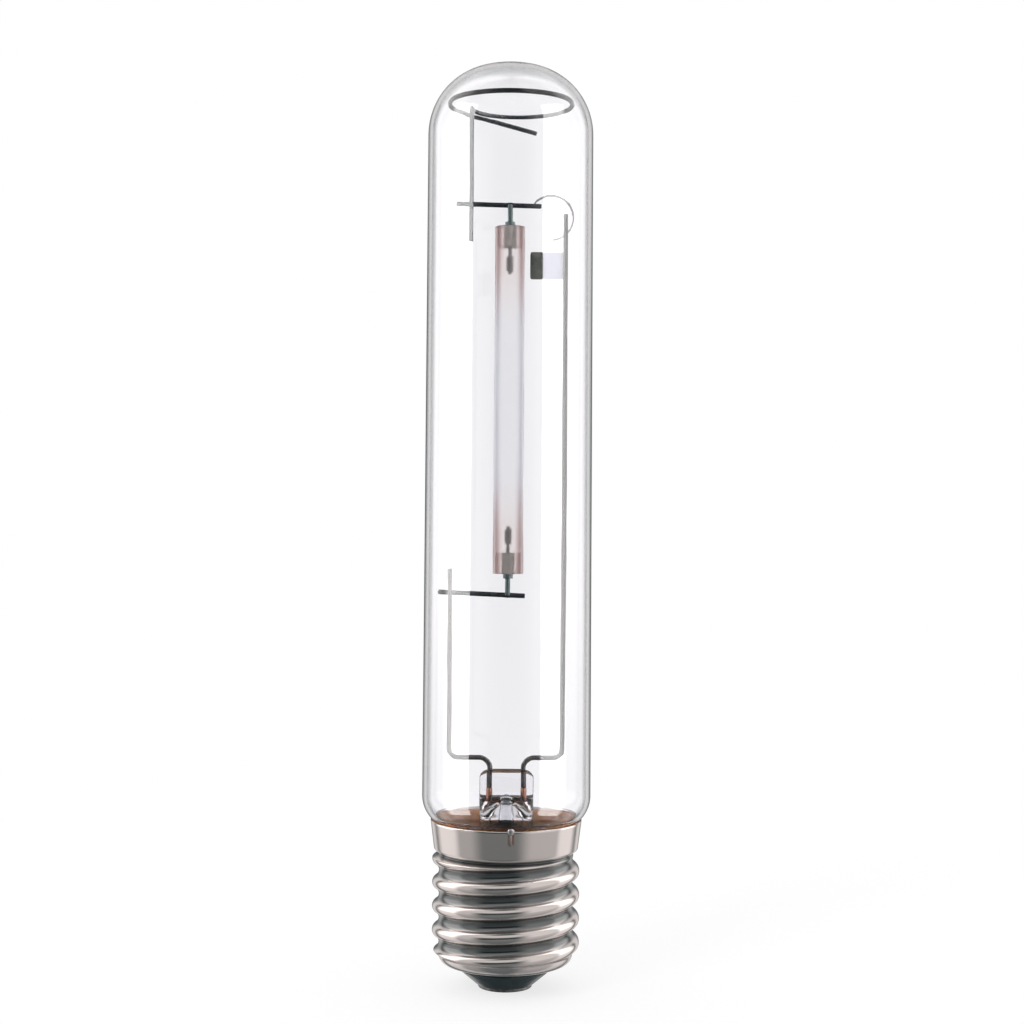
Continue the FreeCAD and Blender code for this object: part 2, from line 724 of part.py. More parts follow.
def build_dome_spring():
    """One wire: a leg off the upper bar, an open ring in the dome and a dipping tail."""
    ring, height = size("spring_ring_radius"), size("spring_height")
    bend = size("spring_bend")
    leg = Vector(-size("spring_leg_reach"), size("bar_setback + bar_radius + spring_radius"), 0)
    setback = leg.y + bend
    link = (ring ** 2 - leg.x ** 2 - setback ** 2) / (2 * (ring + leg.x))
    middle = Vector(leg.x + link, setback, 0)
    join = math.atan2(middle.y, middle.x)

    def on_circle(centre, radius, angle):
        return centre + Vector(radius * math.cos(angle), radius * math.sin(angle), height)

    def clockwise(centre, radius, first, last):
        points = [on_circle(centre, radius, angle)
                  for angle in (first, (first + last) / 2, last)]
        return Part.Arc(*points).toShape()

    foot = Vector(leg.x, leg.y, size("spring_leg_foot_height"))
    knee = Vector(leg.x, leg.y, height - bend)
    knee_centre = knee + Vector(0, bend, 0)
    knee_middle = knee_centre + Vector(0, -1, 1).normalize() * bend
    edges = [Part.LineSegment(foot, knee).toShape(),
             Part.Arc(knee, knee_middle, on_circle(middle, link, math.pi)).toShape(),
             clockwise(middle, link, math.pi, join)]
    open_angle = math.radians(size("spring_open_angle")) - 2 * math.pi
    for share, next_share in ((0, 1 / 3), (1 / 3, 2 / 3), (2 / 3, 1)):
        first = join + (open_angle - join) * share
        last = join + (open_angle - join) * next_share
        edges.append(clockwise(Vector(), ring, first, last))
    leave = on_circle(Vector(), ring, open_angle)
    heading = Vector(math.sin(open_angle), -math.cos(open_angle), 0)
    drop = Vector(0, 0, size("spring_tail_drop"))
    dip = Vector(0, 0, size("spring_tail_dip"))
    tail = [leave, leave + heading * size("spring_tail_turn") - dip,
            Vector(size("spring_tail_reach"), size("spring_tail_setback"), height) - drop]
    edges += bent_edges(tail, bend)
    return shaped("dome_spring", wire_along(edges, size("spring_radius")))


def build_flexible_strap():
    """A thin bowed strip that lets the arc tube grow, from the upper bar to the right rod."""
    bend, wall = size("strap_bend"), size("strap_wall")
    centre = Vector(size("strap_centre_reach"), size("rod_radius"), size("strap_centre_height"))
    bar_top = size("upper_bar_height + bar_radius")
    bar_top -= (centre.x - bend) * math.tan(math.radians(size("upper_bar_tilt")))
    first = math.pi - math.asin((bar_top - centre.z) / (bend - wall / 2))
    last = -math.radians(size("strap_end_angle"))

    def arc(radius):
        points = [centre + Vector(radius * math.cos(angle), 0, radius * math.sin(angle))
                  for angle in (first, (first + last) / 2, last)]
        return Part.Arc(*points).toShape()

    outer, inner = arc(bend + wall / 2), arc(bend - wall / 2)
    ends = [Part.LineSegment(outer.valueAt(outer.LastParameter),
                             inner.valueAt(inner.LastParameter)).toShape(),
            Part.LineSegment(inner.valueAt(inner.FirstParameter),
                             outer.valueAt(outer.FirstParameter)).toShape()]
    outline = Part.Wire(Part.sortEdges([outer, inner] + ends)[0])
    strip = Part.Face(outline).extrude(Vector(0, size("strap_width"), 0))
    return shaped("flexible_strap", strip)


def build_getter():
    """A pressed getter pellet with round corners, on a strip welded behind the right rod."""
    block("getter_strip", "right_rod_reach - getter_left - getter_pellet_width + rod_radius / 2",
          "getter_strip_wall", "getter_height", "getter_left + getter_pellet_width",
          "rod_radius", "getter_foot_height")
    body = new_body("getter_pellet")
    outline = body.newObject("Sketcher::SketchObject", "getter_pellet_face")
    outline.AttachmentSupport = [(origin_plane(body, "XZ_Plane"), "")]
    outline.MapMode = "FlatFace"
    outline.setExpression("AttachmentOffset.Base.z",
                          bound("-(rod_radius + getter_pellet_depth / 2)"))
    right, top = "getter_left + getter_pellet_width", "getter_foot_height + getter_height"
    add_outline(outline, [
        ("getter_left + getter_pellet_edge", "getter_foot_height"),
        (right, "getter_foot_height"),
        (right, top),
        ("getter_left + getter_pellet_edge", top, "getter_pellet_edge", 1),
        ("getter_left", f"{top} - getter_pellet_edge"),
        ("getter_left", "getter_foot_height + getter_pellet_edge", "getter_pellet_edge", 1),
    ])
    pellet = body.newObject("PartDesign::Pad", "getter_pellet_pad")
    pellet.Profile = outline
    pellet.setExpression("Length", bound("getter_pellet_depth"))


def build_end_fittings(place, direction):
    """Plug, seal, niobium tube, lead and electrode at one end of the arc tube."""
    end = "arc_tube_foot_height" if direction > 0 else "arc_tube_top_height"
    bar = "lower_bar_height" if direction > 0 else "upper_bar_height"

    def level(text):
        return f"{end} + {text}" if direction > 0 else f"{end} - ({text})"

    def sleeve(label, outer, inner, near, far):
        low, high = (level(near), level(far)) if direction > 0 else (level(far), level(near))
        return turned(f"{place}_{label}", [
            (inner, low), (outer, low), (outer, high), (inner, high)])

    sleeve("end_plug", "plug_radius", "plug_bore_radius", "0", "plug_length")
    sleeve("seal_frit", "plug_bore_radius", "niobium_radius", "0", "plug_length")
    near, far = "-niobium_stand_out", "plug_length"
    outline = [("end_lead_radius", level(near)), ("niobium_radius", level(near)),
               ("niobium_radius", level(far)), ("electrode_radius", level(far)),
               ("electrode_radius", level("plug_length - niobium_wall")),
               ("niobium_radius - niobium_wall", level("plug_length - niobium_wall")),
               ("niobium_radius - niobium_wall", level("niobium_wall - niobium_stand_out")),
               ("end_lead_radius", level("niobium_wall - niobium_stand_out"))]
    turned(f"{place}_niobium_tube", outline)
    low, high = bar, level("niobium_wall - niobium_stand_out")
    if direction < 0:
        low, high = high, low
    cylinder(f"{place}_lead_rod", "end_lead_radius", f"{high} - ({low})", low)
    low, high = level("plug_length - niobium_wall"), level("plug_length + electrode_length")
    if direction < 0:
        low, high = high, low
    cylinder(f"{place}_electrode", "electrode_radius", f"{high} - ({low})", low)
    build_electrode_coil(place, direction, size(level("plug_length + electrode_length")))


def build_electrode_coil(place, direction, tip):
    """Tungsten wire wound on the electrode just behind its tip."""
    wire, pitch = size("coil_wire_radius"), size("coil_pitch")
    radius = size("electrode_radius + wire_clearance") + wire
    length = pitch * size("coil_turns")
    low = tip - direction * size("coil_below_tip")
    low -= length + wire if direction > 0 else -wire
    helix = Part.makeHelix(pitch, length, radius)
    heading = Vector(0, 2 * math.pi * radius, pitch)
    section = Part.Wire(Part.makeCircle(wire, Vector(radius, 0, 0), heading))
    coil = Part.Wire(helix.Edges).makePipeShell([section], True, True)
    coil.translate(Vector(0, 0, low))
    return shaped(f"{place}_electrode_coil", coil)


def build_basing_cement(neck, lead):
    """Cement that fills the skirt round the neck."""
    blank = turned("cement_blank", [
        ("neck_radius - glass_wall", "cement_foot_height"),
        ("rim_radius - sheet_wall - skirt_slope_in * (cap_height - cement_foot_height)",
         "cement_foot_height"),
        ("rim_radius - sheet_wall - skirt_slope_in * cement_below_rim", "cement_top_height"),
        ("neck_radius - glass_wall", "cement_top_height"),
    ])
    return cut("basing_cement", blank, neck, lead)


def build_rim_solder(around):
    """The bead that fills the rim's notch over the side lead and stands on the rim."""
    offset = size("side_lead_offset")
    middle = size("rim_radius - sheet_wall / 2")
    stretch = FreeCAD.Matrix()
    stretch.scale(size("solder_width"), size("solder_depth"), size("solder_height"))
    bead = Part.makeSphere(0.5).transformGeometry(stretch)
    bead.translate(Vector(offset, -math.sqrt(middle ** 2 - offset ** 2), size("cap_height")))
    return shaped("side_solder", bead.cut([piece.Shape for piece in around]))


build_outer_bulb()
neck = build_neck_plug()
cap_shell = build_cap_shell()
build_cap_insulator()
build_contact_plate()
cylinder("arc_core", "plug_radius", "arc_tube_length", "arc_tube_foot_height")
arc_body = cylinder("arc_body", "arc_tube_radius", "arc_tube_length", "arc_tube_foot_height")
cut("arc_tube", arc_body, doc.getObject("arc_core"))
build_end_fittings("lower", 1)
build_end_fittings("upper", -1)

rods = [build_support_rod("left_support_rod", -1, "left_rod_reach", "left_rod_height"),
        build_support_rod("right_support_rod", 1, "right_rod_reach", "right_rod_height")]
pins = [cylinder(f"{side}_seal_pin", "pin_radius", "pin_top_height - pin_foot_height",
                 "pin_foot_height", sign + "pin_reach")
        for side, sign in (("left", "-"), ("right", ""))]
centre_lead = build_centre_lead()
side_lead = build_side_lead()
vent = primitive("Part::Cylinder", "vent_hole", Radius="vent_radius", Height="stem_radius")
vent.Placement = FreeCAD.Placement(
    Vector(0, 0, 0), FreeCAD.Rotation(Vector(1, 0, 0), -90))
vent.setExpression("Placement.Base.z", bound("exhaust_top_height - exhaust_radius"))
exhaust, exhaust_tube = build_exhaust_tube(vent)
doc.recompute()
build_glass_stem(rods + pins + [centre_lead, side_lead], exhaust, vent)

cross_bar("lower_cross_bar", "lower_bar_height", "lower_bar_left", "lower_bar_right",
          "lower_bar_tilt")
cross_bar("upper_cross_bar", "upper_bar_height", "upper_bar_left", "upper_bar_right",
          "upper_bar_tilt")
build_dome_spring()
build_flexible_strap()
build_getter()
cement = build_basing_cement(neck, side_lead)
doc.recompute()
build_rim_solder([cap_shell, neck, cement, side_lead])
contact_filling = cylinder("contact_filling", "contact_eye_radius", "contact_height", "0")
cut("contact_solder", contact_filling, centre_lead)
doc.recompute()

NODES = [
    "outer_bulb", "glass_stem", "exhaust_tube", "left_support_rod", "right_support_rod",
    "left_seal_pin", "right_seal_pin", "centre_lead", "side_lead", "lower_cross_bar",
    "upper_cross_bar", "dome_spring", "flexible_strap", "getter_strip", "getter_pellet",
    "arc_tube", "lower_end_plug", "upper_end_plug", "lower_seal_frit", "upper_seal_frit",
    "lower_niobium_tube", "upper_niobium_tube", "lower_lead_rod", "upper_lead_rod",
    "lower_electrode", "upper_electrode", "lower_electrode_coil", "upper_electrode_coil",
    "cap_shell", "cap_insulator", "contact_plate", "contact_solder", "side_solder",
    "basing_cement",
]

for item in doc.Objects:
    if "Invalid" in item.State or "Error" in item.State:
        raise RuntimeError(f"{item.Name} failed: {item.State}")
os.makedirs("parts", exist_ok=True)
for label in NODES:
    piece = doc.getObjectsByLabel(label)[0]
    shape = piece.Shape
    if shape.isNull() or not shape.isValid() or len(shape.Solids) != 1:
        raise RuntimeError(f"{label} is not one valid solid: {len(shape.Solids)}")
    print(f"{label:24s} {shape.Volume:10.2f} mm3  {shape.BoundBox}")
for label in NODES:
    doc.getObjectsByLabel(label)[0].Shape.exportStep(f"parts/{label}.step")
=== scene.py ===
# %% [markdown]
# # A high pressure sodium lamp
#
# A tubular clear bulb stands on a large screw cap. Inside it a slim ceramic arc tube hangs
# in a wire frame, and a spring wire in the dome steadies that frame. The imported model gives
# every piece its place. This lesson keeps the places and gives each piece a finer surface and
# a finish of its own.

import math

import bpy
import numpy as np
from mathutils import Matrix, Vector


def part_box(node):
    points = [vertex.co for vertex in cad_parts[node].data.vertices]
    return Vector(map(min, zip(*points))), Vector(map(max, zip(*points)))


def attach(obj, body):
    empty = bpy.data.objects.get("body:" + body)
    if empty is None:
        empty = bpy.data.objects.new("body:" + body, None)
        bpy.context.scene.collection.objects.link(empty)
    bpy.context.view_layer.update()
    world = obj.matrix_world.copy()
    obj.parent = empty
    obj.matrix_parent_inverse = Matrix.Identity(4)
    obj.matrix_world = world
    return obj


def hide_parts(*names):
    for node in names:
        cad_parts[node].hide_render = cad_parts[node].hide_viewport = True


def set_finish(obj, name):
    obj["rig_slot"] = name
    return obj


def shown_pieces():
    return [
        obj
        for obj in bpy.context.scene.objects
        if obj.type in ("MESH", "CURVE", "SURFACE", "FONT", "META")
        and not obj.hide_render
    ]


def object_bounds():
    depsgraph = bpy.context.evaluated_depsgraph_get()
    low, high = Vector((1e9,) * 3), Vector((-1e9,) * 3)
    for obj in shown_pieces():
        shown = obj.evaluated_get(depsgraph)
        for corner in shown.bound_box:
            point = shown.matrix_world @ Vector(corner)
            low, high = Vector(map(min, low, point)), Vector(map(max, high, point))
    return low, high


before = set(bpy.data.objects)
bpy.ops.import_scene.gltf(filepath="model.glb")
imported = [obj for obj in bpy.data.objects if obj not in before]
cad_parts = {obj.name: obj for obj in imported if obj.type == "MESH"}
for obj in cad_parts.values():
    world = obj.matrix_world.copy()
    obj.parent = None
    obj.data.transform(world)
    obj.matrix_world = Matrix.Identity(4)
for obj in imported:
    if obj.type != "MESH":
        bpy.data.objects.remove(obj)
cad_low, cad_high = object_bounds()
print("packed nodes:", len(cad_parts), "height in mm:", round(cad_high.z * 1000, 1))

# %% [markdown]
# ## Surfaces as grids of points
#
# A round thing is a profile turned about an axis, and a wire is a circle carried along a
# path. Both are one grid of points, rows by columns, so one function can join any such grid
# with four-sided faces. Modelling tools such as Screw or a bevelled curve would give the same
# forms, but a grid keeps the formula in sight and is quick to make as whole arrays.

# %% Join a grid of points into a mesh
MM = 0.001
TAU = 2 * math.pi


def grid_skin(grid, ring=False, hollow=False):
    """Points in metres and faces of a closed skin over a grid in mm, rows by columns by 3.

    The last column joins the first. Rows join in the same way if ring is true, and otherwise
    each end closes in a fan from the mean of its row. The sum of the tetrahedra from the
    origin to the triangles is the volume. Its sign tells which way the faces look: they are
    turned over unless they face out, or in for the skin of a hollow.
    """
    rows, columns = grid.shape[:2]
    ids = np.arange(rows * columns).reshape(rows, columns)
    low = ids if ring else ids[:-1]
    high = np.roll(ids, -1, 0) if ring else ids[1:]
    quads = np.stack([low, np.roll(low, -1, 1), np.roll(high, -1, 1), high], -1).reshape(-1, 4)
    points = grid.reshape(-1, 3) * MM
    fans = np.zeros((0, 3), int)
    if not ring:
        points = np.vstack([points, np.stack([grid[0].mean(0), grid[-1].mean(0)]) * MM])
        first, last = rows * columns, rows * columns + 1
        fans = np.vstack([
            np.stack([np.full(columns, first), np.roll(ids[0], -1), ids[0]], -1),
            np.stack([np.full(columns, last), ids[-1], np.roll(ids[-1], -1)], -1)])
    triangles = np.vstack([quads[:, [0, 1, 2]], quads[:, [0, 2, 3]], fans])
    a, b, c = (points[triangles[:, corner]] for corner in range(3))
    volume = np.einsum("ij,ij->i", a, np.cross(b, c)).sum()
    if (volume > 0) == hollow:
        quads, fans = quads[:, ::-1], fans[:, ::-1]
    return points, quads.tolist() + fans.tolist()


def skin_piece(name, *skins):
    """One smooth-shaded object from one or more closed skins."""
    points, faces = [], []
    for skin_points, skin_faces in skins:
        faces += [[corner + len(points) for corner in face] for face in skin_faces]
        points += skin_points.tolist()
    mesh = bpy.data.meshes.new(name)
    mesh.from_pydata(points, [], faces)
    mesh.polygons.foreach_set("use_smooth", np.ones(len(mesh.polygons), bool))
    piece = bpy.data.objects.new(name, mesh)
    bpy.context.scene.collection.objects.link(piece)
    return piece


def grid_piece(name, grid, ring=False):
    return skin_piece(name, grid_skin(grid, ring))


def full_turn(columns):
    return np.linspace(0, TAU, columns, endpoint=False)[None]


def round_points(radius, around, height):
    """Points at a radius, an angle about the lamp's axis and a height."""
    return np.stack(np.broadcast_arrays(radius * np.cos(around), radius * np.sin(around),
                                        height), -1)


def turned_grid(profile, columns=96):
    """A profile of (radius, height) rows turned about the lamp's axis."""
    return round_points(profile[:, :1], full_turn(columns), profile[:, 1:])


def turned_piece(name, profile, columns=96, ring=False):
    return grid_piece(name, turned_grid(profile, columns), ring)


# %% [markdown]
# Corners of a real piece are never quite sharp. A chain of corners, each with its own bend
# radius, is enough to describe most profiles and most bent wires: each bend is an arc that
# touches the two runs beside it.

# %% Round the corners of a chain
def bend_chain(corners, bends, steps=10):
    """Points along a chain of corners, with an arc of the given radius at each inner corner.

    At a corner where the run turns by an angle, the arc starts and ends radius times the
    tangent of half the angle away, and its centre lies on the line that halves the corner.
    """
    corners = np.asarray(corners, float)
    bends = np.broadcast_to(bends, len(corners) - 2)
    points = [corners[:1]]
    for before, corner, after, bend in zip(corners, corners[1:], corners[2:], bends):
        arriving, leaving = corner - before, after - corner
        arriving, leaving = arriving / np.linalg.norm(arriving), leaving / np.linalg.norm(leaving)
        turn = math.acos(np.clip(arriving @ leaving, -1, 1))
        if bend <= 0 or turn < 1e-4:
            points.append(corner[None])
            continue
        inward = (leaving - arriving) / np.linalg.norm(leaving - arriving)
        centre = corner + inward * bend / math.cos(turn / 2)
        along = arriving - inward * (arriving @ inward)
        along = along / np.linalg.norm(along)
        angle = np.linspace(-turn / 2, turn / 2, steps)[:, None]
        points.append(centre + bend * (np.sin(angle) * along - np.cos(angle) * inward))
    points.append(corners[-1:])
    return np.vstack(points)


def spread_points(path, spacing):
    """The same path with points added so that none are further apart than the spacing."""
    steps = np.linalg.norm(np.diff(path, axis=0), axis=1)
    travel = np.concatenate([[0], np.cumsum(steps)])
    even = np.linspace(0, travel[-1], int(travel[-1] / spacing) + 2)
    travel_all = np.union1d(np.round(travel, 6), np.round(even, 6))
    return np.stack([np.interp(travel_all, travel, column) for column in path.T], -1)


# %% [markdown]
# A wire is a circle carried along its path. The circle must not spin on the way, or the
# mesh would twist, so each step turns the frame only as far as the path itself turns.

# %% Carry a circle along a path
END_SHARE = 0.3


def wire_piece(name, path, radius, sides=20):
    """A round wire in mm along a path of points, with lightly rounded ends.

    A side direction is carried from point to point, each time made square to the new
    heading. Over the last rows the radius falls like a quarter ellipse by the end's share.
    """
    path = np.asarray(path, float)
    heading = np.gradient(path, axis=0)
    heading /= np.linalg.norm(heading, axis=1, keepdims=True)
    side = np.eye(3)[np.argmin(np.abs(heading[0]))]
    sideways = []
    for direction in heading:
        side = side - direction * (side @ direction)
        side = side / np.linalg.norm(side)
        sideways.append(side)
    sideways = np.array(sideways)[:, None]
    other = np.cross(heading, sideways[:, 0])[:, None]
    around = full_turn(sides)[..., None]
    ring = radius * (np.cos(around) * sideways + np.sin(around) * other)
    turn = np.linspace(0, math.pi / 2, 4)[:, None, None]
    scale = 1 - END_SHARE + END_SHARE * np.sin(turn)
    depth = END_SHARE * radius * (1 - np.cos(turn))
    foot = path[0] + depth * heading[0] + scale * ring[0]
    top = (path[-1] - depth * heading[-1] + scale * ring[-1])[::-1]
    return grid_piece(name, np.vstack([foot, (path[:, None] + ring)[1:-1], top]))


def hung(piece, node, slot):
    """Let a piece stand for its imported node, ride on the lamp and name its finish's slot."""
    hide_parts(node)
    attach(piece, "root")
    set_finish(piece, slot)
    return piece


def box_mm(node):
    """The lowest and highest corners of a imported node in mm."""
    low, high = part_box(node)
    return np.array(low) / MM, np.array(high) / MM


def hang_upright(name, node, slot, x, radius, rows=6):
    """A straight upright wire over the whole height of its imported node."""
    low, high = box_mm(node)
    path = [[x, 0, height] for height in np.linspace(low[2], high[2], rows)]
    hung(wire_piece(name, path, radius), node, slot)
    return low[2], high[2]


# %% [markdown]
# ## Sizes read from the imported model
#
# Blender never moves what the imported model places, so heights and reaches come from the
# nodes' own boxes. Only what a box can't tell, such as a bend's radius, is written here.

# %% Heights and radii from the nodes
bulb_low, bulb_high = box_mm("outer_bulb")
BULB_FOOT, BULB_TOP = bulb_low[2], bulb_high[2]
cap_box_low, cap_box_high = box_mm("cap_shell")
CAP_FLOOR, RIM_HEIGHT, RIM_RADIUS = cap_box_low[2], cap_box_high[2], cap_box_high[0]
arc_low, arc_high = box_mm("arc_tube")
ARC_FOOT, ARC_TOP, ARC_RADIUS = arc_low[2], arc_high[2], arc_high[0]
LEFT_ROD = box_mm("left_support_rod")
RIGHT_ROD = box_mm("right_support_rod")
ROD_RADIUS = LEFT_ROD[1][1]
print("arc tube from", ARC_FOOT, "to", ARC_TOP, "mm; bulb to", BULB_TOP, "mm")

# %% [markdown]
# ## The outer bulb
#
# The bulb is drawn tube: its foot is squeezed to a neck for the cap, and its top is closed
# into a dome that is a little flatter than a half sphere. Its wall is the same throughout,
# so the inside is the outside's profile moved inwards. Both skins are needed, because light
# bends at each of them, and that is what draws the dark edges of a real glass tube.

# %% Turn the bulb
WALL = 1.2
NECK_RADIUS, NECK_BEND, NECK_LEAN = 16.5, 4.0, math.radians(50)
TUBE_FOOT_RADIUS, TUBE_TOP_RADIUS, SHOULDER_BEND, SHOULDER_TOP = 22.4, 21.9, 8.5, 51.0
CROWN_EDGE, CROWN_BEND = 9.0, 30.0


def arc_points(centre, radius, start, end, steps):
    """Points (radius, height) on an arc between two angles measured from level outwards."""
    angle = np.linspace(start, end, steps)
    return np.stack([centre[0] + radius * np.cos(angle), centre[1] + radius * np.sin(angle)], -1)


def bulb_skin(inset):
    """The bulb's profile from neck to crown, moved inwards: each outward bend's radius shrinks
    by the inset and each inward one grows by it, about the same centres."""
    crown_centre = (0, BULB_TOP - CROWN_BEND)
    crown_angle = math.acos(CROWN_EDGE / CROWN_BEND)
    dome_bend = (TUBE_TOP_RADIUS - CROWN_EDGE) / (1 - math.cos(crown_angle))
    reach = CROWN_BEND - dome_bend
    dome_centre = (reach * math.cos(crown_angle), crown_centre[1] + reach * math.sin(crown_angle))
    shoulder = (TUBE_FOOT_RADIUS - SHOULDER_BEND, SHOULDER_TOP)
    neck = NECK_RADIUS + NECK_BEND
    lean_run = (shoulder[0] + (SHOULDER_BEND + NECK_BEND) * math.cos(NECK_LEAN) - neck)
    neck_centre = (neck, shoulder[1] - (SHOULDER_BEND + NECK_BEND) * math.sin(NECK_LEAN)
                   - lean_run / math.tan(NECK_LEAN))
    straight = np.linspace(0.02, 0.98, 50)[:, None]
    tube = (1 - straight) * [TUBE_FOOT_RADIUS - inset, SHOULDER_TOP] \
        + straight * [TUBE_TOP_RADIUS - inset, dome_centre[1]]
    return np.vstack([
        [[NECK_RADIUS - inset, BULB_FOOT]],
        arc_points(neck_centre, NECK_BEND + inset, math.pi, math.pi - NECK_LEAN, 14),
        arc_points(shoulder, SHOULDER_BEND - inset, -NECK_LEAN, 0, 20),
        tube,
        arc_points(dome_centre, dome_bend - inset, 0, crown_angle, 36),
        arc_points(crown_centre, CROWN_BEND - inset, crown_angle, math.pi / 2 - 0.004, 14)[1:]])


def build_outer_bulb():
    """One chain: from the crown down the outside, round the neck's foot and up the inside."""
    return turned_piece("outer_bulb_glass", np.vstack([bulb_skin(0)[::-1], bulb_skin(WALL)]),
                        144)


outer_bulb = hung(build_outer_bulb(), "outer_bulb", "clear_glass")
print("outer bulb:", len(outer_bulb.data.polygons), "faces")

# %% [markdown]
# ## The stem and its press
#
# The stem is a flared glass tube, sealed to the bulb's neck at its foot. While hot, its top
# was pinched flat round the wires, which made the seal. Seen from above the outline goes
# from a circle to a flat oval. A superellipse covers both ends of that change: its power is
# 2 for the circle and grows as the outline flattens.

# %% Shape the glass stem
STEM_FOOT, PRESS_TOP = (corner[2] for corner in box_mm("glass_stem"))
STEM_RADIUS, STEM_WALL, PRESS_DEPTH, PRESS_EDGE, PRESS_CORNER = 7.2, 1.1, 5.6, 2.2, 3.5
SHOULDER_FOOT, PRESS_FOOT, CAVITY_TOP, CAVITY_RADIUS = 46.0, 51.2, 48.5, 2.6
FLARE_RADIUS = NECK_RADIUS - WALL


def smooth(share):
    """The soft step 3s^2 - 2s^3, held at 0 and 1 outside its range."""
    share = np.clip(share, 0, 1)
    return share * share * (3 - 2 * share)


def superellipse(around, power):
    """The unit superellipse: |cos| and |sin| ^ (2 / power), each with its own sign."""
    return [np.sign(wave) * np.abs(wave) ** (2 / power)
            for wave in (np.cos(around), np.sin(around))]


def oval_rows(height, half_width, half_depth, power):
    """Superellipse rows that reach their half sizes, one row to a height."""
    across, deep = superellipse(full_turn(112), power[:, None])
    return np.stack([half_width[:, None] * across, half_depth[:, None] * deep,
                     np.broadcast_to(height[:, None], across.shape)], -1)


def flare(radius, bend, centre_height, steps):
    """Radius and height down the trumpet foot, a quarter circle that turns outwards."""
    angle = np.linspace(0, math.pi / 2, steps)
    return radius + bend * (1 - np.cos(angle)), centre_height - bend * np.sin(angle)


def build_glass_stem():
    """Outside rows from the flare's lip up to the press, then inside rows back down."""
    bend = FLARE_RADIUS - STEM_RADIUS
    centre = STEM_FOOT + STEM_WALL + bend
    trumpet, trumpet_height = (values[::-1] for values in flare(STEM_RADIUS, bend, centre, 16))
    lift = np.linspace(0.04, 1, 40)
    side = SHOULDER_FOOT + (PRESS_TOP - PRESS_EDGE - SHOULDER_FOOT) * lift
    flat = smooth((side - SHOULDER_FOOT) / (PRESS_FOOT - SHOULDER_FOOT))
    edge = np.linspace(0.08, math.pi / 2, 12)
    inset = PRESS_EDGE * (1 - np.cos(edge))
    height = np.concatenate([trumpet_height, side, PRESS_TOP - PRESS_EDGE * (1 - np.sin(edge))])
    width = np.concatenate([trumpet, STEM_RADIUS + 0 * side,
                            STEM_RADIUS - PRESS_CORNER * (1 - np.cos(edge))])
    depth = np.concatenate([trumpet, STEM_RADIUS + (PRESS_DEPTH / 2 - STEM_RADIUS) * flat,
                            PRESS_DEPTH / 2 - inset])
    power = np.concatenate([2 + 0 * trumpet, 2 + 1.4 * flat, 3.4 + 0 * edge])
    outside = oval_rows(height, width, depth, power)
    lowered = bend_chain([[STEM_RADIUS - STEM_WALL, centre],
                          [STEM_RADIUS - STEM_WALL, SHOULDER_FOOT - STEM_WALL],
                          [CAVITY_RADIUS, CAVITY_TOP - 0.6],
                          [CAVITY_RADIUS - 1.2, CAVITY_TOP], [0.01, CAVITY_TOP]], [2.0, 0.9, 0.6])
    inner, inner_height = flare(STEM_RADIUS - STEM_WALL, bend + STEM_WALL, centre, 16)
    radius = np.concatenate([lowered[::-1, 0], inner[1:]])
    height = np.concatenate([lowered[::-1, 1], inner_height[1:]])
    inside = oval_rows(height, radius, radius, 2 + 0 * radius)
    return grid_piece("glass_stem_press", np.vstack([inside, outside]))


hung(build_glass_stem(), "glass_stem", "stem_glass")

# %% [markdown]
# The bulb was emptied through a thin tube inside the stem, which was then melted off. Its
# two ends are round. It is closed and hollow, so its inner skin is a second closed surface
# whose faces look inwards.

# %% Shape the exhaust tube
exhaust_low, exhaust_high = box_mm("exhaust_tube")
EXHAUST_RADIUS, EXHAUST_WALL = exhaust_high[0], 0.75


def capsule(radius, low, high, steps=14):
    """The profile of a tube with half round ends."""
    return np.vstack([arc_points((0, low + radius), radius, 0.05 - math.pi / 2, 0, steps),
                      arc_points((0, high - radius), radius, 0, math.pi / 2 - 0.05, steps)])


def build_exhaust_tube():
    """The outer capsule, and the inner one a wall's thickness inside it."""
    outer = capsule(EXHAUST_RADIUS, exhaust_low[2], exhaust_high[2])
    inner = capsule(EXHAUST_RADIUS - EXHAUST_WALL, exhaust_low[2] + EXHAUST_WALL,
                    exhaust_high[2] - EXHAUST_WALL)
    return skin_piece("exhaust_tube_glass", grid_skin(turned_grid(outer, 48)),
                      grid_skin(turned_grid(inner, 48), hollow=True))


hung(build_exhaust_tube(), "exhaust_tube", "stem_glass")

# %% [markdown]
# ## Wires, rods and bars
#
# Two seal pins carry the current through the press. A stiff rod is welded to each: the left
# one is short, and the right one runs the whole length of the arc tube. Each steps outwards
# with two bends just above the press.

# %% Bend the support rods
PIN_REACH = 4.4
STEP_HEIGHT, ELBOW, CORNER = 61.0, 3.0, 2.4
PIN_FOOT, PIN_TOP = (corner[2] for corner in box_mm("left_seal_pin"))
PIN_RADIUS = box_mm("left_seal_pin")[1][1]
LEFT_REACH = LEFT_ROD[0][0] + ROD_RADIUS


def build_rod(side, node, reach, top):
    """Up from the seal pin, out at the step, and up again where x is the reach."""
    chain = [[side * PIN_REACH, 0, PIN_TOP], [side * PIN_REACH, 0, STEP_HEIGHT],
             [reach, 0, STEP_HEIGHT], [reach, 0, top]]
    path = spread_points(bend_chain(chain, [ELBOW, CORNER], 16), 4.0)
    return hung(wire_piece(node + "_wire", path, ROD_RADIUS), node, "nickel_rod")


build_rod(-1, "left_support_rod", LEFT_REACH, LEFT_ROD[1][2])
build_rod(1, "right_support_rod", RIGHT_ROD[1][0] - ROD_RADIUS, RIGHT_ROD[1][2])

# %% [markdown]
# The seal pins are copper-clad, and two thin leads go on from them: one down to the eye of
# the end contact, the other under the neck's foot, up the front of the cement and out
# through a notch in the rim, where it is folded down on the skirt.

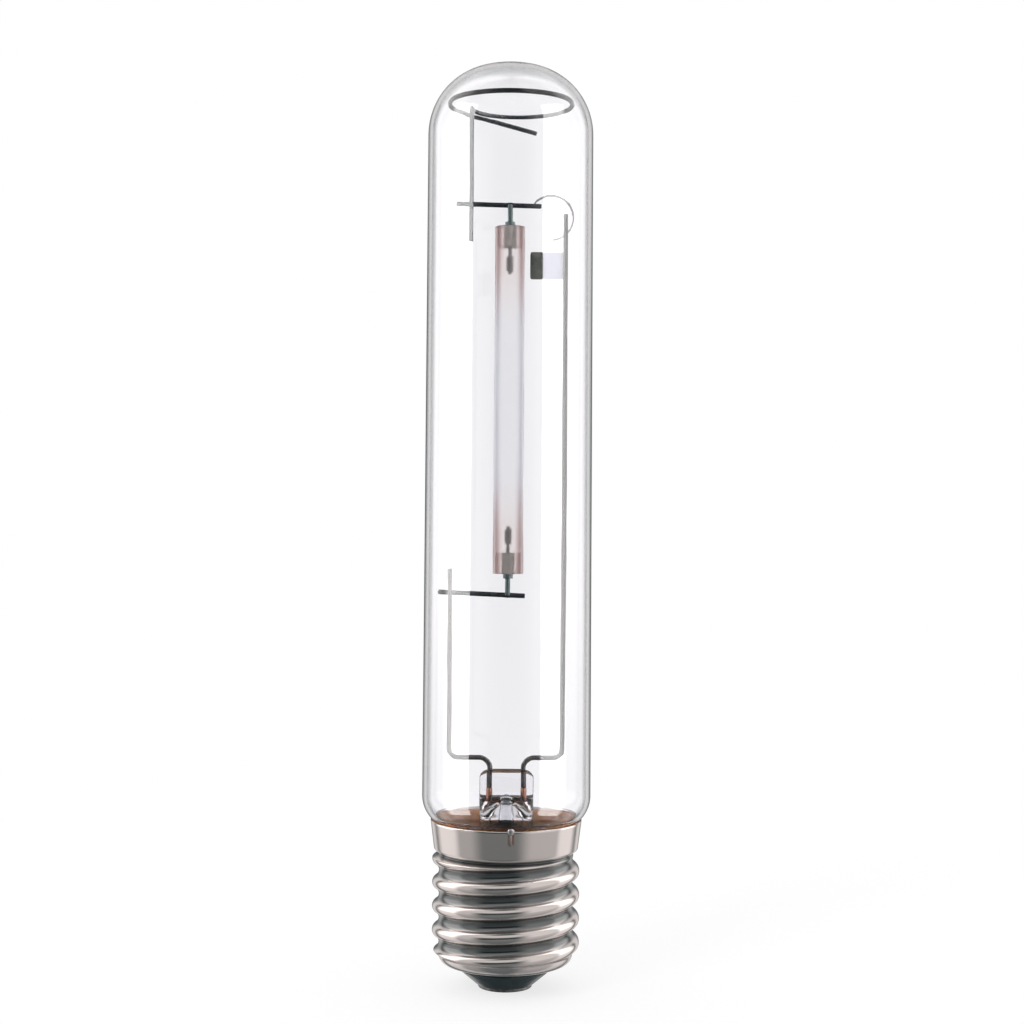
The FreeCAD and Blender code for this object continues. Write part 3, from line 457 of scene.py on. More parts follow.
# %% Run the pins and leads
LEAD_RADIUS, LEAD_BEND, FOLD_BEND, CENTRE_TURN = 0.25, 1.6, 0.3, 13.5
SIDE_OFFSET, NOTCH_DEPTH, NOTCH_WIDTH, FOLD = 1.3, 1.45, 0.6, 3.2
SHEET, SKIRT_FOOT, SKIRT_FOOT_RADIUS, THREAD_ROOT = 0.45, 36.9, 19.15, 17.8
CLEAR = 0.03
side_low = box_mm("side_lead")[0]

for side, word in ((-1, "left"), (1, "right")):
    hang_upright(word + "_pin", word + "_seal_pin", "seal_copper", side * PIN_REACH, PIN_RADIUS)


def skirt_radius(height, inset=0.0):
    """The skirt is a cone: its radius grows evenly from its foot to the rim."""
    foot = SKIRT_FOOT + inset / 2
    share = (height - foot) / (RIM_HEIGHT - foot)
    return SKIRT_FOOT_RADIUS + (RIM_RADIUS - SKIRT_FOOT_RADIUS) * share - inset


def lead_piece(name, chain, bend):
    return wire_piece(name, spread_points(bend_chain(chain, bend), 3), LEAD_RADIUS, 12)


def build_centre_lead():
    """Straight down beside the exhaust tube, then in to the contact's eye."""
    chain = [[-PIN_REACH, 0, PIN_FOOT], [-PIN_REACH, 0, CENTRE_TURN],
             [0, 0, CENTRE_TURN - PIN_REACH], [0, 0, box_mm("centre_lead")[0][2]]]
    return lead_piece("centre_lead_wire", chain, LEAD_BEND)


def build_side_lead():
    """Under the neck, up between neck and shell, then out and down at the rim's notch."""
    low, reach = side_low[2] + LEAD_RADIUS, (NECK_RADIUS + THREAD_ROOT - SHEET) / 2
    crossing = RIM_HEIGHT - NOTCH_DEPTH + LEAD_RADIUS + CLEAR

    def front(radius, height):
        return [SIDE_OFFSET, -math.sqrt(radius ** 2 - SIDE_OFFSET ** 2), height]

    beside = LEAD_RADIUS + CLEAR
    chain = [[PIN_REACH, 0, PIN_FOOT], [PIN_REACH, 0, low], front(reach, low),
             front(reach, SKIRT_FOOT), front(skirt_radius(crossing, SHEET) - beside, crossing),
             front(skirt_radius(crossing) + beside, crossing),
             front(skirt_radius(RIM_HEIGHT - FOLD) + beside, RIM_HEIGHT - FOLD)]
    return lead_piece("side_lead_wire", chain, FOLD_BEND)


hung(build_centre_lead(), "centre_lead", "lead_wire")
hung(build_side_lead(), "side_lead", "lead_wire")

# %% [markdown]
# The cross bars are welded behind the rods and are not quite level. Each joint is a
# resistance weld, which squeezes a little metal out round the contact, so a small bead is
# added where a bar meets a rod.

# %% Lay the cross bars
BAR_RADIUS, LEG_REACH = 0.65, 10.5
BAR_SETBACK = ROD_RADIUS + BAR_RADIUS
BEAD_LENGTH, BEAD_SWELL, BEAD_BACK = 0.7, 0.28, 0.4


def bar_line(node):
    """The two end points of a tilted bar, from its box: x runs from end to end and z falls."""
    low, high = box_mm(node)
    slope = (high[2] - low[2] - 2 * BAR_RADIUS) / (high[0] - low[0])
    lean = BAR_RADIUS * slope
    return np.array([[low[0] + lean, BAR_SETBACK, high[2] - BAR_RADIUS],
                     [high[0] - lean, BAR_SETBACK, low[2] + BAR_RADIUS]])


def build_welded_bar(node, weld_x):
    """A bar whose radius swells by a bell curve at each weld, as squeezed metal does."""
    line = bar_line(node)
    share = np.linspace(0, 1, 90)[:, None]
    path = line[0] + (line[1] - line[0]) * share
    piece = wire_piece(node + "_rod", path, BAR_RADIUS)
    points = np.empty(len(piece.data.vertices) * 3)
    piece.data.vertices.foreach_get("co", points)
    points = points.reshape(-1, 3) / MM
    centre = line[0] + (line[1] - line[0]) * ((points[:, :1] - line[0, 0])
                                              / (line[1, 0] - line[0, 0]))
    bell = sum(np.exp(-((points[:, :1] - spot) / BEAD_LENGTH) ** 2) for spot in weld_x)
    front = np.clip((centre[:, 1:2] - points[:, 1:2]) / BAR_RADIUS + BEAD_BACK, 0, 1)
    points = centre + (points - centre) * (1 + BEAD_SWELL * bell * front)
    piece.data.vertices.foreach_set("co", (points * MM).ravel())
    return hung(piece, node, "bar_metal")


build_welded_bar("lower_cross_bar", [LEFT_REACH, 0])
build_welded_bar("upper_cross_bar", [-LEG_REACH, 0])
print("bars from", bar_line("lower_cross_bar").round(1).tolist())

# %% [markdown]
# ## The spring in the dome
#
# One springy wire presses outwards on the dome and keeps the frame in the middle. It starts
# as a leg behind the upper bar, turns into an open ring just under the dome, and its free end
# turns inwards and dips.

# %% Bend the dome spring
SPRING_RADIUS, RING_RADIUS, SPRING_HEIGHT, RING_SPACING = 0.6, 16.4, 234.7, 0.6
SPRING_BEND, OPEN_ANGLE = 1.6, math.radians(142.4)
TAIL_TURN, TAIL_DIP, TAIL_END = 2.0, 0.4, (7.1, 10.5, -5.7)


def circle_run(centre, radius, start, end):
    """Points on a level circle between two angles, at the ring's height."""
    angle = np.linspace(start, end, max(int(abs(end - start) * radius / RING_SPACING), 4))
    return round_points(radius, angle, SPRING_HEIGHT) + [*centre, 0]


def build_dome_spring():
    """Leg, a bend back, a small circle that meets the ring from within, ring and tail.

    The small circle starts at the leg's knee, heading straight back. Its radius follows from
    touching the ring: the distance of the two centres is the difference of the radii.
    """
    knee_y = BAR_SETBACK + BAR_RADIUS + SPRING_RADIUS
    setback = knee_y + SPRING_BEND
    link = (RING_RADIUS ** 2 - LEG_REACH ** 2 - setback ** 2) / (2 * (RING_RADIUS - LEG_REACH))
    join = math.atan2(setback, link - LEG_REACH)
    foot = box_mm("dome_spring")[0][2]
    leg = np.stack([np.full(12, -LEG_REACH), np.full(12, knee_y),
                    np.linspace(foot, SPRING_HEIGHT - SPRING_BEND, 12)], -1)
    turn = np.linspace(0, math.pi / 2, 10)[1:-1, None]
    knee = np.hstack([np.full_like(turn, -LEG_REACH), setback - SPRING_BEND * np.cos(turn),
                      SPRING_HEIGHT - SPRING_BEND + SPRING_BEND * np.sin(turn)])
    small = circle_run((link - LEG_REACH, setback), link, math.pi, join)
    ring = circle_run((0, 0), RING_RADIUS, join, OPEN_ANGLE - TAU)
    leave, heading = ring[-1], np.array([math.sin(OPEN_ANGLE), -math.cos(OPEN_ANGLE), 0])
    tail = bend_chain([leave, leave + heading * TAIL_TURN - [0, 0, TAIL_DIP],
                       [TAIL_END[0], TAIL_END[1], SPRING_HEIGHT + TAIL_END[2]]], SPRING_BEND, 12)
    path = np.vstack([leg, knee, small, ring[1:], spread_points(tail, 1.5)[1:]])
    return wire_piece("dome_spring_wire", path, SPRING_RADIUS)


dome_spring = hung(build_dome_spring(), "dome_spring", "spring_wire")
print("dome spring:", len(dome_spring.data.polygons), "faces")

# %% [markdown]
# The arc tube grows by a few tenths of a millimetre when hot. A bowed strip of thin metal
# takes up that growth between the upper bar and the long rod.

# %% Bow the flexible strap
STRAP_BEND, STRAP_WALL, STRAP_WIDTH, STRAP_EDGE = 5.9, 0.3, 2.0, 0.08
STRAP_CENTRE, STRAP_END = (11.0, 204.9), math.radians(-86)


def build_flexible_strap():
    """A flat strip with eased edges, bent round one centre from the bar down to the rod."""
    line = bar_line("upper_cross_bar")
    slope = (line[1, 2] - line[0, 2]) / (line[1, 0] - line[0, 0])
    left = STRAP_CENTRE[0] - STRAP_BEND
    top = line[0, 2] + slope * (left - line[0, 0]) + BAR_RADIUS
    start = math.pi - math.asin((top - STRAP_CENTRE[1]) / (STRAP_BEND - STRAP_WALL / 2))
    angle = np.linspace(start, STRAP_END, 60)[:, None]
    half, edge = STRAP_WALL / 2, STRAP_EDGE
    section = np.array([[-half, edge], [-half + edge, 0], [half - edge, 0], [half, edge],
                        [half, STRAP_WIDTH - edge], [half - edge, STRAP_WIDTH],
                        [-half + edge, STRAP_WIDTH], [-half, STRAP_WIDTH - edge]])
    reach = STRAP_BEND + section[None, :, 0]
    grid = np.stack([STRAP_CENTRE[0] + reach * np.cos(angle),
                     ROD_RADIUS + section[None, :, 1] + 0 * angle,
                     STRAP_CENTRE[1] + reach * np.sin(angle)], -1)
    return grid_piece("flexible_strap_strip", grid)


hung(build_flexible_strap(), "flexible_strap", "strap_metal")

# %% [markdown]
# ## The getter
#
# A small pressed plate of gas-binding metal hangs on a bright strip behind the long rod. The
# plate is a rounded slab: a superellipse outline, with each row drawn in a little near the
# faces.

# %% Press the getter
PELLET_EDGE, PELLET_POWER, CARRIER_EDGE, CARRIER_POWER = 0.12, 9.0, 0.05, 24.0


def build_slab(name, node, slot, edge, power):
    """A slab whose depth runs along y: superellipse rows, drawn in by a quarter circle at
    both faces."""
    low, high = box_mm(node)
    middle, half = (low + high) / 2, (high - low) / 2
    across, upward = superellipse(full_turn(96), power)
    turn = np.concatenate([np.linspace(-math.pi / 2, 0, 6), np.linspace(0, math.pi / 2, 6)])
    inset = edge * (1 - np.cos(turn))[:, None]
    depth = np.concatenate([[-half[1]] * 6, [half[1]] * 6]) + edge * (
        np.concatenate([1 + np.sin(turn[:6]), np.sin(turn[6:]) - 1]))
    grid = np.stack([middle[0] + (half[0] - inset) * across,
                     middle[1] + depth[:, None] + 0 * across,
                     middle[2] + (half[2] - inset) * upward], -1)
    return hung(grid_piece(name, grid), node, slot)


build_slab("getter_pellet_plate", "getter_pellet", "getter_coating", PELLET_EDGE, PELLET_POWER)
build_slab("getter_carrier", "getter_strip", "getter_metal", CARRIER_EDGE, CARRIER_POWER)

# %% [markdown]
# ## The arc tube and what closes it
#
# The arc tube is sintered alumina, milky rather than clear. A ceramic plug closes each end,
# a niobium tube passes through it in a ring of dark sealing glass, and inside that tube stands
# the electrode with its coil.

# %% Turn the arc tube and its fittings
TUBE_WALL, PLUG_LENGTH, PLUG_BORE, NIOBIUM_RADIUS, NIOBIUM_WALL = 0.8, 5.5, 1.65, 1.3, 0.25
STAND_OUT, LEAD_ROD_RADIUS, ELECTRODE_RADIUS = 1.3, 0.65, 0.45
COIL_WIRE, COIL_PITCH, COIL_TURNS, COIL_BELOW_TIP = 0.25, 0.62, 6, 0.6


def tube_profile(outer, inner, low, high, edge):
    """A closed profile of a tube with eased corners."""
    corners = [[inner, (low + high) / 2], [inner, low], [outer, low], [outer, high],
               [inner, high], [inner, (low + high) / 2]]
    return bend_chain(corners, edge, 5)[:-1]


def hang_tube(name, node, slot, outer, inner, low, high, edge, columns):
    profile = tube_profile(outer, inner, low, high, edge)
    hung(turned_piece(name, profile, columns, ring=True), node, slot)


hang_tube("arc_tube_ceramic", "arc_tube", "alumina", ARC_RADIUS, ARC_RADIUS - TUBE_WALL,
          ARC_FOOT, ARC_TOP, 0.25, 96)

for word, end, inward in (("lower", ARC_FOOT, 1), ("upper", ARC_TOP, -1)):
    deep = end + inward * PLUG_LENGTH
    out = end - inward * STAND_OUT
    low, high = min(end, deep), max(end, deep)
    hang_tube(word + "_plug", word + "_end_plug", "plug_ceramic", ARC_RADIUS - TUBE_WALL,
              PLUG_BORE, low, high, 0.15, 72)
    hang_tube(word + "_frit", word + "_seal_frit", "seal_frit", PLUG_BORE, NIOBIUM_RADIUS,
              low, high, 0.1, 48)
    chain = [[LEAD_ROD_RADIUS, out], [NIOBIUM_RADIUS, out], [NIOBIUM_RADIUS, deep],
             [ELECTRODE_RADIUS, deep], [ELECTRODE_RADIUS, deep - inward * NIOBIUM_WALL],
             [NIOBIUM_RADIUS - NIOBIUM_WALL, deep - inward * NIOBIUM_WALL],
             [NIOBIUM_RADIUS - NIOBIUM_WALL, out + inward * NIOBIUM_WALL],
             [LEAD_ROD_RADIUS, out + inward * NIOBIUM_WALL]]
    sleeve = bend_chain(chain, [0.12, 0.12, 0, 0, 0, 0], 5)
    hung(turned_piece(word + "_niobium", sleeve, 48, ring=True), word + "_niobium_tube",
         "niobium")
    hang_upright(word + "_lead_pin", word + "_lead_rod", "niobium", 0, LEAD_ROD_RADIUS)
    foot, top = hang_upright(word + "_electrode_pin", word + "_electrode", "tungsten", 0,
                             ELECTRODE_RADIUS, 8)
    tip = top if inward > 0 else foot
    first = tip - inward * (COIL_BELOW_TIP + COIL_WIRE)
    angle = np.linspace(0, TAU * COIL_TURNS, 24 * COIL_TURNS)
    coil_radius = ELECTRODE_RADIUS + CLEAR + COIL_WIRE
    coil = round_points(coil_radius, angle, first - inward * COIL_PITCH * angle / TAU)
    hung(wire_piece(word + "_coil", coil, COIL_WIRE, 12), word + "_electrode_coil", "tungsten")
print("arc tube parts done")

# %% [markdown]
# ## The screw cap
#
# The cap is one thin sheet of plated brass: a slightly flared skirt, a groove, a rolled
# thread and a drawn-in floor. The thread's section is two equal arcs, one bulging out and one
# bulging in, and the whole section climbs one pitch per turn. Because every point's radius is
# a function of its angle and height, the sheet is still one grid. It fades to the plain root
# radius near both ends, as rolling does.

# %% Roll the cap shell
THREAD_CREST, PITCH, MARK_HEIGHT, FADE = 19.6, 6.35, 24.75, 1.3
GROOVE_HEIGHT, SHELL_CORNER, EYE_RADIUS, SHEET_EDGE = 35.9, 2.4, 12.9, 0.12
THREAD_FOOT = CAP_FLOOR + SHELL_CORNER
NOTCH_ANGLE = math.asin(SIDE_OFFSET / RIM_RADIUS) - math.pi / 2


def thread_swell(around, height):
    """How far the thread stands out from its root, in mm.

    The arcs' radius is (pitch^2 / 4 + depth^2) / (4 depth). Within a quarter pitch of a crest
    the section is the outer arc, elsewhere the inner one, and a soft step fades the ends.
    """
    depth = THREAD_CREST - THREAD_ROOT
    bend = (PITCH ** 2 / 4 + depth ** 2) / (4 * depth)
    turns = (height - MARK_HEIGHT) / PITCH - around / TAU
    offset = np.abs(turns - np.round(turns)) * PITCH
    near = np.minimum(offset, PITCH / 4)
    far = np.minimum(PITCH / 2 - offset, PITCH / 4)
    outer = depth - bend + np.sqrt(bend ** 2 - near ** 2)
    inner = bend - np.sqrt(bend ** 2 - far ** 2)
    inset = np.minimum(height - THREAD_FOOT, GROOVE_HEIGHT - height)
    return np.where(offset <= PITCH / 4, outer, inner) * smooth(inset / FADE)


def shell_profile(inset, thread_rows):
    """Radius, height and a thread mark down one skin, from the rim to the floor's eye."""
    skirt = bend_chain([[RIM_RADIUS - inset, RIM_HEIGHT - SHEET_EDGE],
                        [SKIRT_FOOT_RADIUS - inset, SKIRT_FOOT + inset / 2],
                        [THREAD_ROOT - inset, GROOVE_HEIGHT + inset / 2],
                        [THREAD_ROOT - inset, GROOVE_HEIGHT - 0.4]], [0.9, 0.4], 8)
    skirt = spread_points(skirt, 0.6)
    thread = np.linspace(GROOVE_HEIGHT - 0.4, THREAD_FOOT, thread_rows)[1:]
    thread = np.stack([np.full_like(thread, THREAD_ROOT - inset), thread], -1)
    corner = arc_points((THREAD_ROOT - SHELL_CORNER, THREAD_FOOT), SHELL_CORNER - inset,
                        0, -math.pi / 2, 12)[1:]
    eye = np.array([[EYE_RADIUS + 0.1, CAP_FLOOR + inset]])
    profile = np.vstack([skirt, thread, corner, eye])
    threaded = (profile[:, 1] < GROOVE_HEIGHT) & (profile[:, 1] > THREAD_FOOT)
    return np.column_stack([profile, threaded])


def build_cap_shell():
    """Both skins with the thread added, then the rim pressed down to make the notch."""
    around = np.linspace(-math.pi, math.pi, 216, endpoint=False)
    notch = NOTCH_ANGLE + np.array([-0.36, -0.3, -0.15, 0, 0.15, 0.3, 0.36]) / RIM_RADIUS
    around = np.sort(np.concatenate([around, notch]))[None]
    outer, inner = shell_profile(0, 190), shell_profile(SHEET, 90)
    rim = [[RIM_RADIUS - SHEET + SHEET_EDGE, RIM_HEIGHT, 0],
           [RIM_RADIUS - SHEET_EDGE, RIM_HEIGHT, 0]]
    eye = [[EYE_RADIUS, CAP_FLOOR + SHEET_EDGE, 0],
           [EYE_RADIUS, CAP_FLOOR + SHEET - SHEET_EDGE, 0]]
    rows = np.vstack([outer, eye, inner[::-1], rim])
    radius, height, threaded = rows[:, :1], rows[:, 1:2], rows[:, 2:]
    swell = thread_swell(around, height) * threaded
    beside = np.abs(around - NOTCH_ANGLE) * RIM_RADIUS
    pressed = (1 - smooth((beside - NOTCH_WIDTH / 2) / 0.06)) * NOTCH_DEPTH
    lift = np.clip((height - RIM_HEIGHT + 4) / 4, 0, 1)
    grid = round_points(radius + swell, around, height - pressed * lift)
    return grid_piece("cap_shell_rolled", grid, ring=True)


cap_shell = hung(build_cap_shell(), "cap_shell", "cap_nickel")
print("cap shell:", 2 * len(cap_shell.data.polygons), "triangles")

# %% [markdown]
# A dark moulded glass insulator fills the floor's eye and carries the end contact. Hot glass
# was pressed into the cap, so its edges are soft and its faces a little uneven.

# %% Mould the insulator, the contact and the solder
FOOT_RADIUS, WAIST_RADIUS, WAIST_HEIGHT, BORE_RADIUS = 7.6, 12.5, 5.1, 2.2
CONTACT_RADIUS, CONTACT_HEIGHT, CONTACT_EYE = 7.2, 0.9, 1.3
SIDE_DROP = (0.9, 0.55, 0.85)


def build_insulator():
    top = box_mm("cap_insulator")[1][2]
    flange = EYE_RADIUS + 1.6
    corners = [[BORE_RADIUS, 3.0], [BORE_RADIUS, CONTACT_HEIGHT], [FOOT_RADIUS, CONTACT_HEIGHT],
               [WAIST_RADIUS, WAIST_HEIGHT], [EYE_RADIUS - 0.05, CAP_FLOOR],
               [EYE_RADIUS - 0.05, CAP_FLOOR + SHEET], [flange, CAP_FLOOR + SHEET],
               [flange, (CAP_FLOOR + SHEET + top) / 2], [EYE_RADIUS, top], [BORE_RADIUS, top],
               [BORE_RADIUS, 3.0]]
    profile = bend_chain(corners, [0.2, 0.7, 1.1, 0.5, 0.1, 0.1, 0.4, 0.3, 0.2], 8)[:-1]
    return turned_piece("cap_insulator_glass", spread_points(profile, 0.5), 96, ring=True)


def build_contact_plate():
    """A flat plate with a rolled edge and a soft dip round its eye."""
    corners = [[CONTACT_EYE, CONTACT_HEIGHT / 2], [CONTACT_EYE, 0.2], [2.2, 0.0],
               [CONTACT_RADIUS, 0], [CONTACT_RADIUS, CONTACT_HEIGHT],
               [CONTACT_EYE, CONTACT_HEIGHT], [CONTACT_EYE, CONTACT_HEIGHT / 2]]
    profile = bend_chain(corners, [0.08, 1.0, 0.35, 0.05, 0.05], 8)[:-1]
    return turned_piece("contact_plate_disc", spread_points(profile, 0.4), 96, ring=True)


def build_contact_solder():
    """A drop in the eye: flat above, with a shallow rounded face below."""
    angle = np.linspace(0.06, math.pi / 2, 12)
    face = np.stack([CONTACT_EYE * np.sin(angle), 0.2 * (1 - np.cos(angle))], -1)
    top = [[CONTACT_EYE, CONTACT_HEIGHT - 0.05], [CONTACT_EYE - 0.05, CONTACT_HEIGHT],
           [0.3, CONTACT_HEIGHT]]
    return turned_piece("contact_solder_drop", np.vstack([face, top]), 40)


def build_side_solder():
    """A lumpy drop over the notch: an ellipsoid whose radius varies by a few sine waves."""
    reach = RIM_RADIUS - SHEET / 2 + 0.15
    centre = [SIDE_OFFSET, -math.sqrt(reach ** 2 - SIDE_OFFSET ** 2), RIM_HEIGHT]
    polar = np.linspace(0.05, math.pi - 0.05, 26)[:, None]
    around = full_turn(36)
    lump = 1 + 0.05 * np.sin(3 * around + 1) * np.sin(polar) + 0.04 * np.sin(5 * polar + around)
    ball = round_points(np.sin(polar), around, np.cos(polar))
    return grid_piece("side_solder_drop", centre + lump[..., None] * ball * SIDE_DROP)


for build, node, slot in ((build_insulator, "cap_insulator", "insulator_glass"),
                          (build_contact_plate, "contact_plate", "contact_metal"),
                          (build_contact_solder, "contact_solder", "solder"),
                          (build_side_solder, "side_solder", "solder")):
    hung(build(), node, slot)

# %% [markdown]
# Brown cement fills the skirt round the neck and was baked hard. Through the clear glass its
# inner side is what shows above the rim, so that side follows the glass closely.

# %% Fill the skirt with cement
CEMENT_FOOT, CEMENT_TOP = (corner[2] for corner in box_mm("basing_cement"))
LUMP_DEPTH, NECK_ROWS = 0.35, 34


def build_cement():
    """Up beside the glass, over a lumpy top and down beside the skirt."""
    skin = bulb_skin(0)[:NECK_ROWS]
    heights = np.linspace(CEMENT_FOOT, CEMENT_TOP, 24)
    glass = np.interp(heights, skin[:, 1], skin[:, 0]) + CLEAR
    skirt = skirt_radius(heights, SHEET) - CLEAR
    share = np.linspace(0, 1, 10)[1:-1]
    top = np.column_stack([glass[-1] + (skirt[-1] - glass[-1]) * share,
                           np.full(8, heights[-1]), np.sin(share * math.pi)])
    rows = np.vstack([np.column_stack([glass, heights, 0 * heights]), top,
                      np.column_stack([skirt, heights, 0 * heights])[::-1]])
    around = full_turn(160)
    lumps = 0.5 + 0.3 * np.sin(7 * around + 0.6) + 0.2 * np.sin(17 * around)
    radius, height, free = rows[:, :1], rows[:, 1:2], rows[:, 2:]
    grid = round_points(radius, around, height - LUMP_DEPTH * free * lumps)
    return grid_piece("basing_cement_ring", grid, ring=True)


hung(build_cement(), "basing_cement", "cement")

# %% [markdown]
# ## Finishes
#
# A finish is a Principled BSDF fed by a few textures. The textures that several finishes
# share are node groups, which hand out only masks and heights: drawn streaks for glass and
# wire, and a film of fingerprints and tarnish for metal. Everything reads Object coordinates,
# which are metres here, so a scale of 1000 is one wave per millimetre.

# %% Helpers for node trees
def add_node(tree, kind, values=(), **settings):
    """A node with its settings, and its sockets' values by name or number."""
    made = tree.nodes.new(kind)
    for key, value in settings.items():
        setattr(made, key, value)
    for key, value in dict(values).items():
        if isinstance(value, bpy.types.NodeSocket):
            tree.links.new(value, made.inputs[key])
        else:
            made.inputs[key].default_value = value
    return made


def math_node(tree, operation, first, second=0.0, third=0.0, clamp=False):
    """One Math node's result, of up to three sockets or numbers."""
    made = add_node(tree, "ShaderNodeMath", {0: first, 1: second, 2: third},
                    operation=operation, use_clamp=clamp)
    return made.outputs[0]


def times(tree, first, second):
    return math_node(tree, "MULTIPLY", first, second)


def mix_colour(tree, share, first, second):
    """A mix of two colours by a share, where each may be a socket or a fixed value."""
    made = add_node(tree, "ShaderNodeMix", data_type="RGBA")
    for key, value in ((0, share), (6, first), (7, second)):
        if isinstance(value, bpy.types.NodeSocket):
            tree.links.new(value, made.inputs[key])
        elif key:
            made.inputs[key].default_value = (*value, 1)
        else:
            made.inputs[key].default_value = value
    return made.outputs[2]


def ramp(tree, share, low, high, out_low=0.0, out_high=1.0):
    """A soft step from out_low to out_high as the share goes from low to high."""
    made = add_node(tree, "ShaderNodeMapRange", {0: share, 1: low, 2: high, 3: out_low,
                    4: out_high}, interpolation_type="SMOOTHSTEP")
    return made.outputs[0]


def new_group(name, inputs, outputs, vectors=()):
    """A shader node group with vector and float inputs, float outputs and its end nodes."""
    tree = bpy.data.node_groups.new(name, "ShaderNodeTree")
    for key in vectors:
        tree.interface.new_socket(key, in_out="INPUT", socket_type="NodeSocketVector")
    for key, value in inputs.items():
        socket = tree.interface.new_socket(key, in_out="INPUT", socket_type="NodeSocketFloat")
        socket.default_value = value
    for key in outputs:
        tree.interface.new_socket(key, in_out="OUTPUT", socket_type="NodeSocketFloat")
    return tree, tree.nodes.new("NodeGroupInput"), tree.nodes.new("NodeGroupOutput")


def new_finish(name, **values):
    """A material, its tree and its Principled BSDF, with the constant values set on it."""
    material = bpy.data.materials.new(name)
    material.use_nodes = True
    tree = material.node_tree
    shader = tree.nodes["Principled BSDF"]
    for key, value in values.items():
        socket = shader.inputs[key.replace("_", " ")]
        socket.default_value = (*value, 1) if isinstance(value, tuple) else value
    return material, tree, shader


def place_group(tree, group, **values):
    """A shared texture in this tree, with its own constant values: its output sockets."""
    made = add_node(tree, "ShaderNodeGroup", node_tree=group)
    for key, value in values.items():
        made.inputs[key].default_value = value
    return made.outputs


def feed(tree, shader, **sockets):
    """Link sockets to the shader's inputs of those names."""
    for key, value in sockets.items():
        tree.links.new(value, shader.inputs[key.replace("_", " ")])


def roughen(tree, shader, height, strength, distance):
    """Feed a height through a Bump node into the shader's normal."""
    bump = add_node(tree, "ShaderNodeBump", {"Strength": strength, "Distance": distance,
                    "Height": height})
    feed(tree, shader, Normal=bump.outputs[0])


def object_place(tree):
    return add_node(tree, "ShaderNodeTexCoord").outputs["Object"]


def split(tree, vector):
    """The x, y and z sockets of a vector."""
    return add_node(tree, "ShaderNodeSeparateXYZ", {0: vector}).outputs


def facing(tree):
    """0 where a surface is seen face on, and 1 at its outline."""
    return add_node(tree, "ShaderNodeLayerWeight", {"Blend": 0.5}).outputs["Facing"]


# %% [markdown]
# Drawn glass and drawn wire carry fine streaks along their length. The streaks are a noise
# whose coordinates are squeezed along z, so that each blot becomes a long line.

# %% Shared textures
def build_streaks():
    """Noise on coordinates scaled across and along the axis: output Streaks from 0 to 1."""
    tree, start, end = new_group("Drawn streaks", {"Across": 900.0, "Along": 15.0},
                                 ["Streaks"])
    parts = split(tree, object_place(tree))
    scaled = add_node(tree, "ShaderNodeCombineXYZ", {
        0: times(tree, parts[0], start.outputs["Across"]),
        1: times(tree, parts[1], start.outputs["Across"]),
        2: times(tree, parts[2], start.outputs["Along"])})
    noise = add_node(tree, "ShaderNodeTexNoise", {"Vector": scaled.outputs[0], "Scale": 1.0,
                     "Detail": 3.0, "Roughness": 0.55})
    feed(tree, end, Streaks=noise.outputs[0])
    return tree


def build_film():
    """Two noises, a broad one that gathers the film and a fine one that breaks it up."""
    tree, start, end = new_group("Tarnish film", {"Scale": 90.0, "Cover": 0.5},
                                 ["Film", "Grain"])
    place = object_place(tree)
    broad = add_node(tree, "ShaderNodeTexNoise", {"Vector": place, "Detail": 4.0,
                     "Scale": start.outputs["Scale"], "Roughness": 0.6, "Distortion": 0.6})
    fine = add_node(tree, "ShaderNodeTexNoise", {"Vector": place, "Scale": 2600.0,
                    "Detail": 2.0})
    cover = math_node(tree, "SUBTRACT", 1.0, start.outputs["Cover"])
    above = math_node(tree, "SUBTRACT", broad.outputs[0], times(tree, cover, 0.8))
    feed(tree, end, Film=math_node(tree, "MULTIPLY", above, 3.0, clamp=True),
         Grain=fine.outputs[0])
    return tree


STREAKS, FILM = build_streaks(), build_film()

# %% [markdown]
# ## Glass
#
# Clear glass shows mostly at its edges, where light passes the long way through the wall and
# leaves a little tinted. Volume absorption would do that too, but it is lost when the model is
# exported, so the colour follows the viewing angle with Layer Weight: nearly white face on,
# and a dark teal grey at the very edge. The arc tube's ceramic lets light through too, but its
# roughness scatters it and its low index hardly bends it, so the electrodes show as soft
# shadows.

# %% Clear glass, stem glass and alumina
ROSY_FROM, ROSY_FULL = 0.35, 0.86


def clear_glass(name, face, edge, bump, rim, soft):
    """Two colours mixed by the viewing angle, with drawn streaks as a height."""
    material, tree, shader = new_finish(name, Roughness=0.0, IOR=1.47, Transmission_Weight=1.0)
    share = ramp(tree, facing(tree), rim, rim + soft)
    feed(tree, shader, Base_Color=mix_colour(tree, share, face, edge))
    streaks = place_group(tree, STREAKS, Across=350.0, Along=12.0)
    roughen(tree, shader, streaks["Streaks"], bump, 0.0004)
    return material


